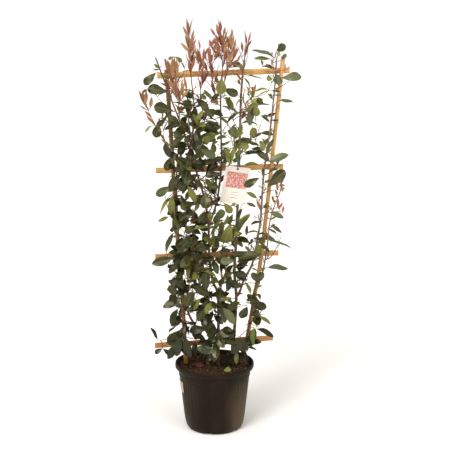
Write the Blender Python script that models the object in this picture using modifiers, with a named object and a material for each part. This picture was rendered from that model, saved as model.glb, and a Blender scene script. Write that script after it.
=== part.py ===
import bpy
import bmesh
import math
import random
from mathutils import Matrix, Vector, geometry
from mathutils.bvhtree import BVHTree

# Photinia Red Robin trained on a bamboo frame in a nursery pot. Metres, +Z up, the front towards -Y.
# The origin is the middle of the pot's flat underside.

GAP = 0.0003
SEED = 41

# Pot and compost
POT_SIDES = 32
POT_RIM_RADIUS = 0.130
POT_HEIGHT = 0.2225
POT_WALL = 0.0020
POT_FLOOR = 0.0030
RIM_DEPTH = 0.0170
BAND_RADIUS = 0.1195
BAND_FOOT = 0.178
STEP_RADIUS = 0.1155
WALL_FOOT_RADIUS = 0.0998
WALL_FOOT = 0.036
BASE_RADIUS = 0.0835
NOTCHES = 6
NOTCH_WIDTH = 0.027
NOTCH_HEIGHT = 0.0110
NOTCH_SHARE = 0.3              # how far round the first notch stands, in notch spacings
CORNER_DEPTH = 0.0125          # the solid corner behind the notches
DRAIN_HOLES = 4
DRAIN_RING = 0.052
DRAIN_RADIUS = 0.006
SOIL = 0.210

# Bamboo frame, which stands a little turned
FRAME_MIDDLE = 0.030
FRAME_TURN = 0.15
CANE_RADIUS = 0.0068
CANE_DEPTH = 0.115
SLAT_HEIGHT = 0.018
SLAT_THICKNESS = 0.0055
CANES = {
    "left_cane": [(-0.0885, 0.095), (-0.095, SOIL), (-0.107, 0.476), (-0.120, 0.650), (-0.137, 0.976),
                  (-0.149, 1.176)],
    "right_cane": [(0.0815, 0.095), (0.096, SOIL), (0.136, 0.445), (0.160, 0.610), (0.194, 0.943),
                   (0.221, 1.216)],
}
SLATS = {
    "top_slat": (-0.178, 1.157, 0.244, 1.171),
    "upper_slat": (-0.186, 0.857, 0.226, 0.861),
    "lower_slat": (-0.192, 0.574, 0.213, 0.573),
    "foot_slat": (-0.197, 0.273, 0.197, 0.280),
}

# Stems and boughs: how far each stands in front of the frame, its radii at foot and tip, and the turns of
# its way up, each as x and height. A bough starts on the side of its parent at its first height.
FLARE = 1.6
FLARE_HEIGHT = 0.035
LIMBS = {
    "centre_stem": (None, 0.030, 0.0052, 0.0020, [
        (0.012, SOIL), (0.013, 0.34), (0.011, 0.450), (-0.006, 0.500), (-0.017, 0.600), (-0.019, 0.684),
        (-0.032, 0.772), (-0.057, 0.858), (-0.099, 0.993), (-0.137, 1.095), (-0.180, 1.214)]),
    "left_stem": (None, 0.016, 0.0044, 0.0018, [
        (-0.022, SOIL), (-0.051, 0.316), (-0.090, 0.402), (-0.111, 0.545), (-0.120, 0.800),
        (-0.112, 0.950), (-0.109, 1.045)]),
    "right_stem": (None, 0.018, 0.0052, 0.0034, [
        (0.060, SOIL), (0.066, 0.320), (0.072, 0.428), (0.066, 0.525), (0.072, 0.640), (0.081, 0.900),
        (0.086, 1.095), (0.096, 1.205)]),
    "far_right_stem": (None, 0.017, 0.0035, 0.0018, [
        (0.085, SOIL), (0.117, 0.343), (0.130, 0.450), (0.157, 0.510), (0.173, 0.600), (0.184, 0.697),
        (0.216, 0.787)]),
    "centre_right_bough": ("centre_stem", 0.026, 0.0032, 0.0024, [
        (-0.019, 0.690), (0.010, 0.765), (0.023, 0.870), (0.022, 0.984), (0.021, 1.095), (0.026, 1.160)]),
    "centre_short_bough": ("centre_stem", 0.022, 0.0028, 0.0018, [
        (0.012, 0.452), (0.024, 0.500), (0.023, 0.583)]),
    "right_outer_bough": ("right_stem", 0.016, 0.0038, 0.0024, [
        (0.072, 0.440), (0.099, 0.496), (0.127, 0.554), (0.150, 0.686), (0.160, 0.840), (0.180, 0.985),
        (0.194, 1.125), (0.198, 1.200)]),
    "upper_left_bough": ("centre_stem", 0.022, 0.0028, 0.0016, [
        (-0.082, 0.935), (-0.063, 1.010), (-0.064, 1.080), (-0.070, 1.140)]),
}

# Ties round a cane and a limb, by height
TIE_HEIGHT = 0.0035
TIE_SLACK = 0.0005
TIE_THICKNESS = 0.0016
TIES = {
    "tie_right_middle": ("right_cane", "right_outer_bough", 0.615),
    "tie_right_upper": ("right_cane", "right_outer_bough", 1.014),
    "tie_right_top": ("right_cane", "right_outer_bough", 1.094),
    "tie_right_low": ("right_cane", "far_right_stem", 0.345),
}

# The blank label, its punched hole and the loop that holds it to the right stem
LABEL_WIDTH = 0.082
LABEL_HEIGHT = 0.120
LABEL_THICKNESS = 0.0008
LABEL_LEAN = math.radians(9)
LABEL_TURN = math.radians(8)
LABEL_AHEAD = 0.024
LOOP_RADIUS = 0.0011
LOOP_HEIGHT = 0.918
LOOP_DROP = 0.006
HOLE_RADIUS = 0.0035
HOLE_DROP = 0.055
HOLE_INSET = 0.004

# Growth: how a shoot leaves its limb, where its leaves and twigs begin, and how far pieces keep apart
BOUGH_ROOT = 0.005
SHOOT_ROOT = 0.004
SHOOT_STEPS = 5
SHOOT_TAPER = 0.55
FIRST_LEAF = 0.16
FIRST_TWIG_LEAF = 0.45
LAST_LEAF = 0.985
TWIG_LEAVES = 3
SHORTEST_TWIG = 0.026
NARROW_ANGLE = 40
LAST_ANGLE_SHARE = 0.35
LEAF_WAIST = 0.55
CELL_MIDDLE = 0.6
CELL_MARGIN = 0.0005
LIMB_MARGIN = 0.0010
WELD = 0.00001
TRIES = 9
GOLDEN = math.radians(137.5)

# Leaves by kind: length, width, angle off the twig in degrees, arch and droop of the blade, length of the
# side twigs as a share of the shoot's, how far those lean out, and the radius of the shoot at its foot.
THICKNESS_SHARE = 0.018
KINDS = {
    "mature": dict(length=0.071, width=0.040, angle=62, arch=0.10,
                droop=0.16, twig=0.36, lean=0.75, stem=0.0024),
    "young": dict(length=0.062, width=0.030, angle=48, arch=0.08,
                droop=0.10, twig=0.36, lean=0.75, stem=0.0022),
    "bronze": dict(length=0.052, width=0.018, angle=32, arch=0.05,
                droop=0.05, twig=0.34, lean=0.60, stem=0.0022),
    "plume": dict(length=0.048, width=0.015, angle=24, arch=0.03,
                droop=0.00, twig=0.24, lean=0.36, stem=0.0022),
}

# Masses of foliage: limb, height where the shoot leaves it, reach in x, y and z, leaves and kind.
MASSES = {
    "plume_left": ("upper_left_bough", "tip", (-0.018, 0.000, 0.152), 20, "plume"),
    "plume_left_small": ("upper_left_bough", 1.060, (0.032, -0.034, 0.140), 11, "plume"),
    "plume_centre": ("centre_right_bough", "tip", (-0.006, -0.002, 0.130), 20, "plume"),
    "plume_centre_right": ("centre_right_bough", 1.125, (0.034, 0.045, 0.140), 12, "plume"),
    "plume_right": ("right_stem", "tip", (0.004, 0.006, 0.050), 9, "plume"),
    "bronze_left": ("left_stem", "tip", (-0.028, -0.006, 0.115), 15, "bronze"),
    "outer_left": ("left_stem", 0.925, (-0.092, -0.018, 0.125), 14, "bronze"),
    "right_bronze": ("far_right_stem", "tip", (0.004, -0.006, 0.045), 9, "bronze"),
    "upper_left_leaves": ("centre_stem", 1.050, (-0.066, -0.030, 0.060), 8, "mature"),
    "shoulder_front": ("centre_stem", 0.930, (0.012, -0.075, 0.090), 13, "mature"),
    "shoulder_back": ("centre_stem", 0.905, (-0.012, 0.080, 0.115), 12, "mature"),
    "crown_left": ("upper_left_bough", 0.975, (0.050, -0.025, 0.095), 12, "mature"),
    "middle_left_front": ("centre_stem", 0.830, (0.060, -0.045, 0.085), 13, "mature"),
    "middle_left_side": ("left_stem", 0.800, (0.028, -0.055, 0.095), 13, "mature"),
    "middle_left_outer": ("left_stem", 0.700, (-0.042, -0.015, 0.105), 11, "mature"),
    "middle_centre": ("centre_stem", 0.725, (0.045, -0.050, 0.080), 12, "mature"),
    "middle_back": ("centre_stem", 0.720, (-0.015, 0.080, 0.125), 12, "mature"),
    "left_inner": ("left_stem", 0.620, (0.030, -0.050, 0.110), 13, "mature"),
    "centre_front": ("centre_stem", 0.600, (0.040, -0.055, 0.085), 13, "young"),
    "centre_back": ("centre_stem", 0.530, (-0.030, 0.075, 0.125), 12, "mature"),
    "left_outer_low": ("left_stem", 0.520, (-0.050, -0.015, 0.090), 11, "mature"),
    "left_front_low": ("left_stem", 0.460, (0.034, -0.050, 0.100), 13, "mature"),
    "centre_low_front": ("centre_stem", 0.470, (0.034, -0.060, 0.080), 13, "mature"),
    "short_tip": ("centre_short_bough", "tip", (0.014, 0.012, 0.060), 10, "mature"),
    "left_low_outer": ("left_stem", 0.385, (-0.050, -0.025, 0.080), 12, "mature"),
    "left_low_back": ("left_stem", 0.345, (-0.010, 0.075, 0.115), 11, "mature"),
    "centre_low": ("centre_stem", 0.365, (-0.030, -0.060, 0.085), 13, "mature"),
    "foot_left": ("left_stem", 0.300, (-0.088, -0.035, 0.030), 15, "mature"),
    "foot_centre": ("centre_stem", 0.275, (-0.020, -0.065, 0.055), 13, "mature"),
    "foot_right": ("right_stem", 0.285, (0.034, -0.050, 0.050), 12, "mature"),
    "right_low": ("far_right_stem", 0.372, (0.045, -0.026, 0.010), 14, "mature"),
    "right_middle": ("right_outer_bough", 0.560, (-0.020, -0.055, 0.060), 12, "mature"),
    "right_outer_leaves": ("far_right_stem", 0.560, (0.052, -0.012, 0.080), 10, "mature"),
    "right_upper_outer": ("right_outer_bough", 0.840, (0.052, -0.024, 0.050), 9, "mature"),
    "right_gap": ("right_outer_bough", 0.900, (-0.048, -0.012, 0.105), 9, "mature"),
    "centre_upper": ("right_stem", 0.900, (-0.030, -0.025, 0.090), 11, "young"),
    "right_tip": ("right_outer_bough", "tip", (-0.004, -0.008, 0.022), 7, "mature"),
    "right_top": ("right_outer_bough", 1.115, (0.045, -0.015, 0.025), 8, "mature"),
}


# Collections and materials

def clear_scene():
    for thing in list(bpy.data.objects):
        bpy.data.objects.remove(thing, do_unlink=True)


def new_collection(name):
    group = bpy.data.collections.new(name)
    bpy.context.scene.collection.children.link(group)
    return group


def material(name, colour, roughness, metallic=0.0):
    made = bpy.data.materials.new(name)
    made.use_nodes = True
    shader = made.node_tree.nodes["Principled BSDF"]
    shader.inputs["Base Color"].default_value = (*colour, 1.0)
    shader.inputs["Roughness"].default_value = roughness
    shader.inputs["Metallic"].default_value = metallic
    return made


def add_object(name, mesh, group, finish=None):
    thing = bpy.data.objects.new(name, mesh)
    group.objects.link(thing)
    if finish:
        mesh.materials.append(finish)
    return thing


def mesh_from(bm, name):
    mesh = bpy.data.meshes.new(name)
    bm.to_mesh(mesh)
    bm.free()
    return mesh


# Paths and tubes

def frame_y(x):
    return FRAME_MIDDLE + FRAME_TURN * x


def smooth_path(points, steps):
    """Catmull-Rom curve through the points, as a list of Vectors."""
    ends = [points[0] * 2 - points[1]] + points + [points[-1] * 2 - points[-2]]
    path = []
    for a, b, c, d in zip(ends, ends[1:], ends[2:], ends[3:]):
        for step in range(steps):
            t = step / steps
            path.append(0.5 * (2 * b + (c - a) * t + (2 * a - 5 * b + 4 * c - d) * t * t
                               + (3 * b - a - 3 * c + d) * t ** 3))
    return path + [points[-1]]


def tube_mesh(name, path, radii, sides=8, closed=False):
    """A tapering tube as a curve with a bevel, turned into a welded mesh. Three sides need a profile."""
    curve = bpy.data.curves.new(name, "CURVE")
    curve.dimensions = "3D"
    curve.use_fill_caps = not closed
    profile = None
    if sides == 3:
        section = bpy.data.curves.new(name + "_section", "CURVE")
        line = section.splines.new("POLY")
        line.points.add(2)
        for corner, point in enumerate(line.points):
            turn = math.tau * corner / 3
            point.co = (math.cos(turn), math.sin(turn), 0, 1)
        line.use_cyclic_u = True
        profile = bpy.data.objects.new(name + "_section", section)
        bpy.context.scene.collection.objects.link(profile)
        curve.bevel_mode = "OBJECT"
        curve.bevel_object = profile
    else:
        curve.bevel_depth = 1.0
        curve.bevel_resolution = sides // 2 - 2
    spline = curve.splines.new("POLY")
    spline.points.add(len(path) - 1)
    spline.use_cyclic_u = closed
    for point, place, radius in zip(spline.points, path, radii):
        point.co = (*place, 1)
        point.radius = radius
    holder = bpy.data.objects.new(name + "_curve", curve)
    bpy.context.scene.collection.objects.link(holder)
    bpy.context.view_layer.update()
    mesh = bpy.data.meshes.new_from_object(holder.evaluated_get(bpy.context.evaluated_depsgraph_get()))
    bpy.data.objects.remove(holder)
    bpy.data.curves.remove(curve)
    if profile:
        bpy.data.objects.remove(profile)
    bm = bmesh.new()
    bm.from_mesh(mesh)
    bmesh.ops.remove_doubles(bm, verts=bm.verts, dist=WELD)
    bmesh.ops.recalc_face_normals(bm, faces=bm.faces)
    bm.to_mesh(mesh)
    bm.free()
    mesh.name = name
    return mesh


def taper(path, foot, tip, flare=1.0):
    """A radius for each point of the path, from foot to tip, widened over the lowest part."""
    lengths = [0.0]
    for a, b in zip(path, path[1:]):
        lengths.append(lengths[-1] + (b - a).length)
    radii = []
    for along in lengths:
        swell = 1 + (flare - 1) * max(0.0, 1 - along / FLARE_HEIGHT) ** 2
        radii.append((foot + (tip - foot) * along / lengths[-1]) * swell)
    return radii


def tree_of(mesh, margin=0.0):
    """A search tree of a mesh, swollen by the margin."""
    corners = [v.co + v.normal * margin for v in mesh.vertices]
    return BVHTree.FromPolygons(corners, [tuple(p.vertices) for p in mesh.polygons])


# Pot and compost

def turned(name, profile, group, finish):
    """A closed body turned about the Z axis from a profile of radius and height pairs."""
    bm = bmesh.new()
    corners = [bm.verts.new((radius, 0, height)) for radius, height in profile]
    for a, b in zip(corners, corners[1:]):
        bm.edges.new((a, b))
    thing = add_object(name, mesh_from(bm, name), group, finish)
    screw = thing.modifiers.new("Turn", "SCREW")
    screw.steps = screw.render_steps = POT_SIDES
    screw.use_merge_vertices = True
    screw.merge_threshold = 0.0001
    screw.use_smooth_shade = False
    return thing


def outer_wall():
    return [
        (POT_RIM_RADIUS - 0.0020, POT_HEIGHT),
        (POT_RIM_RADIUS, POT_HEIGHT - 0.0030),
        (POT_RIM_RADIUS, POT_HEIGHT - RIM_DEPTH + 0.0040),
        (POT_RIM_RADIUS - 0.0030, POT_HEIGHT - RIM_DEPTH),
        (BAND_RADIUS, POT_HEIGHT - RIM_DEPTH - 0.0010),
        (BAND_RADIUS - 0.0025, BAND_FOOT + 0.0020),
        (STEP_RADIUS, BAND_FOOT),
        (WALL_FOOT_RADIUS, WALL_FOOT),
        (BASE_RADIUS + 0.0140, 0.0180),
        (BASE_RADIUS + 0.0090, 0.0060),
        (BASE_RADIUS, 0.0),
    ]


def inner_wall(inset):
    """The pot's inner face from bottom to top, moved in by the inset."""
    return [
        (BASE_RADIUS - CORNER_DEPTH - inset, POT_FLOOR + inset),
        (BASE_RADIUS - CORNER_DEPTH + 0.0005 - inset, NOTCH_HEIGHT + 0.0025 + inset),
        (WALL_FOOT_RADIUS - POT_WALL - inset, WALL_FOOT + inset),
        (STEP_RADIUS - POT_WALL - inset, BAND_FOOT + inset),
        (BAND_RADIUS - POT_WALL - 0.0010 - inset, SOIL),
    ]


def cut(thing, cutter, cutters):
    cutter.hide_render = True
    cutter.display_type = "WIRE"
    for group in list(cutter.users_collection):
        group.objects.unlink(cutter)
    cutters.objects.link(cutter)
    boolean = thing.modifiers.new("Cut " + cutter.name, "BOOLEAN")
    boolean.operation = "DIFFERENCE"
    boolean.object = cutter


def make_pot(parts, cutters, plastic, peat):
    inside = inner_wall(0.0)
    lip = [(POT_RIM_RADIUS - 0.0065, POT_HEIGHT)]
    profile = [(0.0, POT_FLOOR)] + inside + lip + outer_wall() + [(0.0, 0.0)]
    pot = turned("pot", profile, parts, plastic)
    fill = inner_wall(GAP)
    top_down = list(reversed(fill))
    compost = turned("compost", [(0.0, SOIL)] + top_down + [(0.0, POT_FLOOR + GAP)], parts, peat)
    bm = bmesh.new()
    for notch in range(NOTCHES):
        turn = Matrix.Rotation(math.tau * (notch + NOTCH_SHARE) / NOTCHES, 4, "Z")
        place = Matrix.Translation((BASE_RADIUS + 0.007, 0, 0))
        size = Matrix.Diagonal((0.032, NOTCH_WIDTH, 2 * NOTCH_HEIGHT, 1))
        bmesh.ops.create_cube(bm, size=1.0, matrix=turn @ place @ size)
    for hole in range(DRAIN_HOLES):
        turn = Matrix.Rotation(math.tau * (hole + 0.25) / DRAIN_HOLES, 4, "Z")
        bmesh.ops.create_cone(bm, cap_ends=True, segments=12, radius1=DRAIN_RADIUS, radius2=DRAIN_RADIUS,
                              depth=0.02, matrix=turn @ Matrix.Translation((DRAIN_RING, 0, 0)))
    drains = add_object("drains", mesh_from(bm, "drains"), cutters)
    cut(pot, drains, cutters)
    return compost


# Bamboo frame

def cane_path(turns):
    return smooth_path([Vector((x, frame_y(x), z)) for x, z in turns], 2)


def make_frame(parts, cutters, compost, bamboo):
    canes = {}
    for name, turns in CANES.items():
        path = cane_path(turns)
        canes[name] = path
        add_object(name, tube_mesh(name, path, [CANE_RADIUS] * len(path)), parts, bamboo)
        hole = tube_mesh(name + "_hole", path[:4], [CANE_RADIUS + 1.5 * GAP] * 4)
        shift = Matrix.Translation((0, 0, -GAP))
        hole.transform(shift)
        cut(compost, add_object(name + "_hole", hole, cutters), cutters)
    for name, (x1, z1, x2, z2) in SLATS.items():
        back = CANE_RADIUS + GAP + SLAT_THICKNESS / 2
        start = Vector((x1, frame_y(x1) + back, z1))
        end = Vector((x2, frame_y(x2) + back, z2))
        along = (end - start).normalized()
        out = along.cross(Vector((0, 0, 1))).normalized()
        up = out.cross(along)
        turn = Matrix((along, -out, up)).transposed().to_4x4()
        size = Matrix.Diagonal(((end - start).length, SLAT_THICKNESS, SLAT_HEIGHT, 1))
        bm = bmesh.new()
        bmesh.ops.create_cube(bm, size=1.0, matrix=size)
        slat = add_object(name, mesh_from(bm, name), parts, bamboo)
        slat.matrix_world = Matrix.Translation((start + end) / 2) @ turn
        bevel = slat.modifiers.new("Rounded edges", "BEVEL")
        bevel.width = 0.0014
        bevel.segments = 1
    return canes


# Stems and boughs

def at_height(path, height):
    """The point of a rising path at a height, and its direction there."""
    for a, b in zip(path, path[1:]):
        if a.z <= height <= b.z:
            return a.lerp(b, (height - a.z) / (b.z - a.z)), (b - a).normalized()
    return path[-1].copy(), (path[-1] - path[-2]).normalized()


def seat_on(limb, height, towards):
    """Where a shoot leaves a limb: a point just clear of its skin, and the way out of it."""
    if height == "tip":
        out = (limb["path"][-1] - limb["path"][-2]).normalized()
        return limb["path"][-1] + out * GAP, out
    middle, along = at_height(limb["path"], height)
    side = (towards - along * towards.dot(along)).normalized()
    hit, normal, _, _ = limb["tree"].ray_cast(middle + side * 0.05, -side)
    return hit + normal * GAP, normal


def make_limbs(parts, bark):
    limbs = {}
    for name, (parent, stand_off, foot, tip, turns) in LIMBS.items():
        points = [Vector((x, frame_y(x) - stand_off, z)) for x, z in turns]
        if parent:
            start, out = seat_on(limbs[parent], turns[0][1], points[1] - points[0])
            turn = start + out * 2 * BOUGH_ROOT
            path = [start, start + out * BOUGH_ROOT] + smooth_path([turn] + points[1:], 2)
            radii = taper(path, foot, tip)
        else:
            points[0].z += GAP
            path = smooth_path([points[0] + Vector((0, 0, 0.012))] + points[1:], 2)
            path.insert(0, points[0])
            radii = taper(path, foot, tip, FLARE)
        mesh = tube_mesh(name, path, radii)
        add_object(name, mesh, parts, bark)
        limbs[name] = dict(path=path, tree=tree_of(mesh))
    return limbs


# Ties and the label

def belt(name, circles, height, parts, finish):
    """A flat band round two upright rods, each given as its middle and radius."""
    def outline(slack):
        ring = []
        for middle, radius in circles:
            for step in range(12):
                turn = math.tau * step / 12
                ring.append(middle + Vector((math.cos(turn), math.sin(turn))) * (radius + slack))
        return [ring[i] for i in geometry.convex_hull_2d(ring)]

    curve = bpy.data.curves.new(name, "CURVE")
    curve.dimensions = "2D"
    curve.fill_mode = "BOTH"
    curve.extrude = TIE_HEIGHT / 2
    for loop in (outline(TIE_SLACK + TIE_THICKNESS), outline(TIE_SLACK)):
        spline = curve.splines.new("POLY")
        spline.points.add(len(loop) - 1)
        spline.use_cyclic_u = True
        for point, place in zip(spline.points, loop):
            point.co = (place.x, place.y, 0, 1)
    holder = bpy.data.objects.new(name, curve)
    holder.location = (0, 0, height)
    curve.materials.append(finish)
    parts.objects.link(holder)


def limb_radius(name, height):
    _, _, foot, tip, turns = LIMBS[name]
    share = (height - turns[0][1]) / (turns[-1][1] - turns[0][1])
    return foot + (tip - foot) * share


def make_ties(parts, canes, limbs, finish):
    for name, (cane, limb, height) in TIES.items():
        circles = [
            (at_height(canes[cane], height)[0].to_2d(), CANE_RADIUS),
            (at_height(limbs[limb]["path"], height)[0].to_2d(), limb_radius(limb, height)),
        ]
        belt(name, circles, height, parts, finish)


def make_label(parts, cutters, limbs, card, twine):
    """A blank hanging card with a punched hole, and the loop of soft tie that it hangs by."""
    stem, _ = at_height(limbs["right_stem"]["path"], LOOP_HEIGHT)
    hole = stem + Vector((-0.006, -LABEL_AHEAD, -HOLE_DROP))
    bm = bmesh.new()
    size = Matrix.Diagonal((LABEL_WIDTH, LABEL_THICKNESS, LABEL_HEIGHT, 1))
    bmesh.ops.create_cube(bm, size=1.0, matrix=size)
    label = add_object("label", mesh_from(bm, "label"), parts, card)
    hang = Matrix.Rotation(LABEL_TURN, 4, "Z") @ Matrix.Rotation(LABEL_LEAN, 4, "Y")
    below = Matrix.Translation((0, 0, HOLE_RADIUS + HOLE_INSET - LABEL_HEIGHT / 2))
    label.matrix_world = Matrix.Translation(hole) @ hang @ below
    bm = bmesh.new()
    through = Matrix.Translation(hole) @ Matrix.Rotation(math.pi / 2, 4, "X")
    bmesh.ops.create_cone(bm, cap_ends=True, segments=12, radius1=HOLE_RADIUS, radius2=HOLE_RADIUS,
                          depth=0.02, matrix=through)
    punch = add_object("label_hole", mesh_from(bm, "label_hole"), cutters)
    cut(label, punch, cutters)
    clear = limb_radius("right_stem", LOOP_HEIGHT) + LOOP_RADIUS + 2 * GAP
    top = hole + Vector((0, 0, HOLE_RADIUS - LOOP_RADIUS - 2 * GAP))
    round_stem = []
    for step in range(6):
        turn = math.radians(-20 + 44 * step)
        round_stem.append(stem + Vector((clear * math.cos(turn), clear * math.sin(turn), 0)))
    ring = round_stem + [
        stem + Vector((-clear * 0.7, -clear * 1.5, -LOOP_DROP)),
        top + Vector((-0.001, 0.005, 0.014)),
        top + Vector((0, 0.0035, 0.003)),
        top.copy(),
        top + Vector((0, -0.0035, 0.003)),
        top + Vector((0.001, -0.005, 0.014)),
        stem + Vector((clear * 0.7, -clear * 1.5, -LOOP_DROP)),
    ]
    count = len(ring)
    path = smooth_path([ring[i % count] for i in range(-2, count + 2)], 2)[4:4 + 2 * count]
    mesh = tube_mesh("label_tie", path, [LOOP_RADIUS] * len(path), sides=4, closed=True)
    add_object("label_tie", mesh, parts, twine)


# Foliage

def leaf_mesh(place, direction, upper, kind, scale):
    """One eight-faced leaf. It starts at the place, deep in its twig, and arches over towards its tip."""
    length = kind["length"] * scale
    width = kind["width"] * scale
    direction = direction.normalized()
    side = direction.cross(upper).normalized()
    upper = side.cross(direction).normalized()
    middle = place + direction * length * LEAF_WAIST + upper * length * kind["arch"]
    tip = place + direction * length - Vector((0, 0, 1)) * length * kind["droop"] * 0.4
    thick = upper * length * THICKNESS_SHARE / 2
    bm = bmesh.new()
    bmesh.ops.create_uvsphere(bm, u_segments=4, v_segments=2, radius=1.0)
    for vert in bm.verts:
        if vert.co.z < -0.5:
            vert.co = place
        elif vert.co.z > 0.5:
            vert.co = tip
        elif abs(vert.co.x) > 0.5:
            vert.co = middle + side * math.copysign(width / 2, vert.co.x) + upper * width * 0.06
        else:
            vert.co = middle + thick * math.copysign(1, vert.co.y)
    bmesh.ops.recalc_face_normals(bm, faces=bm.faces)
    return mesh_from(bm, "leaf")


def inside_cell(points, own, centres, margin):
    for name, centre in centres.items():
        if name == own:
            continue
        across = centre - centres[own]
        limit = (centre.length_squared - centres[own].length_squared) / 2
        for point in points:
            if (point.dot(across) - limit) / across.length > -margin:
                return False
    return True


def free(mesh, own, centres, keep_out):
    corners = [v.co for v in mesh.vertices]
    tree = tree_of(mesh)
    return inside_cell(corners, own, centres, CELL_MARGIN) and not any(tree.overlap(k) for k in keep_out)


def side_way(along, azimuth):
    """A direction square to a twig at an azimuth round it."""
    across = along.orthogonal()
    across.rotate(Matrix.Rotation(azimuth, 3, along))
    return across.normalized()


def shoot_path(start, out, reach):
    """A shoot's curve: straight out of the limb, then round to the way it reaches."""
    bend = start + out * max(0.008, reach.length * 0.25)
    end = start + reach
    root = start + out * SHOOT_ROOT
    path = [start, root]
    for step in range(1, SHOOT_STEPS + 1):
        t = step / SHOOT_STEPS
        path.append(root * (1 - t) ** 2 + bend * 2 * t * (1 - t) + end * t * t)
    return path


def make_mass(name, path, stem, centres, keep_out, parts, finish, seed):
    leaves, kind_name = MASSES[name][3:]
    kind = KINDS[kind_name]
    rng = random.Random(seed)
    reach = (path[-1] - path[0]).length
    group = new_collection(name + "_pieces")
    body = add_object(name, stem, parts, finish)
    twigs = max(1, round((leaves - 6) / 4))
    carriers = [(path, leaves - TWIG_LEAVES * twigs, FIRST_LEAF)]
    for twig in range(twigs):
        share = 0.30 + 0.55 * (twig + 0.5) / twigs
        root, along = along_path(path, share)
        for attempt in range(TRIES):
            azimuth = GOLDEN * twig + rng.uniform(-0.3, 0.3) + attempt * math.tau / TRIES
            way = along * 0.65 + side_way(along, azimuth) * kind["lean"] + Vector((0, 0, 0.12))
            length = max(SHORTEST_TWIG, kind["twig"] * reach * rng.uniform(0.85, 1.15))
            line = [root, root + way * length * 0.5, root + way * length + Vector((0, 0, 0.10 * length))]
            mesh = tube_mesh("twig", line, taper(line, kind["stem"] * 0.6, kind["stem"] * 0.4), sides=3)
            if free(mesh, name, centres, keep_out):
                group.objects.link(bpy.data.objects.new("twig", mesh))
                carriers.append((line, TWIG_LEAVES, FIRST_TWIG_LEAF))
                break
    blades = []
    for line, count, first in carriers:
        for number in range(count):
            share = first + (LAST_LEAF - first) * number / max(1, count - 1)
            root, along = along_path(line, share)
            terminal = number == count - 1
            for attempt in range(TRIES):
                azimuth = GOLDEN * number + rng.uniform(-0.5, 0.5) + attempt * math.tau / TRIES
                angle = math.radians(kind["angle"]) * (LAST_ANGLE_SHARE if terminal else 1)
                angle *= rng.uniform(0.8, 1.15)
                radial = side_way(along, azimuth)
                way = along * math.cos(angle) + radial * math.sin(angle)
                way -= Vector((0, 0, 1)) * kind["droop"] * rng.uniform(0.3, 1.0)
                if kind["angle"] < NARROW_ANGLE:
                    upper = Vector((0, 0, 0.5)) - radial + Vector((0, 0.1, 0))
                else:
                    upper = Vector((rng.uniform(-0.5, 0.5), rng.uniform(-0.9, 0.3), 1.0))
                scale = rng.uniform(0.80, 1.12) * (1 - 0.04 * attempt)
                mesh = leaf_mesh(root, way, upper, kind, scale)
                if free(mesh, name, centres, keep_out + blades):
                    group.objects.link(bpy.data.objects.new("leaf", mesh))
                    blades.append(tree_of(mesh))
                    break
    union = body.modifiers.new("Union", "BOOLEAN")
    union.operation = "UNION"
    union.operand_type = "COLLECTION"
    union.collection = group
    union.solver = "EXACT"
    bpy.context.view_layer.update()
    joined = bpy.data.meshes.new_from_object(body.evaluated_get(bpy.context.evaluated_depsgraph_get()))
    body.modifiers.clear()
    body.data = largest_shell(joined)
    for piece in list(group.objects):
        bpy.data.objects.remove(piece)
    bpy.data.collections.remove(group)


def along_path(path, share):
    """The point at a share of a path's length, and the direction there."""
    lengths = [(b - a).length for a, b in zip(path, path[1:])]
    left = share * sum(lengths)
    for a, b, length in zip(path, path[1:], lengths):
        if left <= length:
            return a.lerp(b, left / length), (b - a).normalized()
        left -= length
    return path[-1].copy(), (path[-1] - path[-2]).normalized()


def largest_shell(mesh):
    """Keeps the one outer body of a joined mass, without loose scraps or sealed hollows."""
    bm = bmesh.new()
    bm.from_mesh(mesh)
    left = set(bm.faces)
    shells = []
    while left:
        shell, edge = set(), [left.pop()]
        while edge:
            face = edge.pop()
            shell.add(face)
            for line in face.edges:
                for other in line.link_faces:
                    if other in left:
                        left.remove(other)
                        edge.append(other)
        shells.append(shell)
    shells.sort(key=len)
    for shell in shells[:-1]:
        bmesh.ops.delete(bm, geom=list(shell), context="FACES")
    bm.to_mesh(mesh)
    bm.free()
    return mesh


def make_foliage(parts, limbs, finishes):
    depsgraph = bpy.context.evaluated_depsgraph_get()
    corners, faces = [], []
    for thing in list(parts.objects):
        mesh = bpy.data.meshes.new_from_object(thing.evaluated_get(depsgraph))
        bm = bmesh.new()
        bm.from_mesh(mesh)
        bmesh.ops.transform(bm, matrix=thing.matrix_world, verts=bm.verts)
        bmesh.ops.remove_doubles(bm, verts=bm.verts, dist=WELD)
        bm.normal_update()
        first = len(corners)
        bm.verts.index_update()
        corners += [v.co + v.normal * LIMB_MARGIN for v in bm.verts]
        faces += [tuple(first + v.index for v in f.verts) for f in bm.faces]
        bm.free()
    rigid = BVHTree.FromPolygons(corners, faces)
    paths, stems, centres = {}, {}, {}
    for name, (limb, height, reach, leaves, kind) in MASSES.items():
        start, out = seat_on(limbs[limb], height, Vector(reach))
        paths[name] = shoot_path(start, out, Vector(reach))
        radius = KINDS[kind]["stem"]
        widths = taper(paths[name], radius, radius * SHOOT_TAPER)
        stems[name] = tube_mesh(name, paths[name], widths, sides=3)
        centres[name] = start + Vector(reach) * CELL_MIDDLE
    for number, name in enumerate(MASSES):
        others = [tree_of(stem, LIMB_MARGIN) for other, stem in stems.items() if other != name]
        finish = finishes[MASSES[name][4]]
        make_mass(name, paths[name], stems[name], centres, [rigid] + others, parts, finish, SEED + number)


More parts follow.
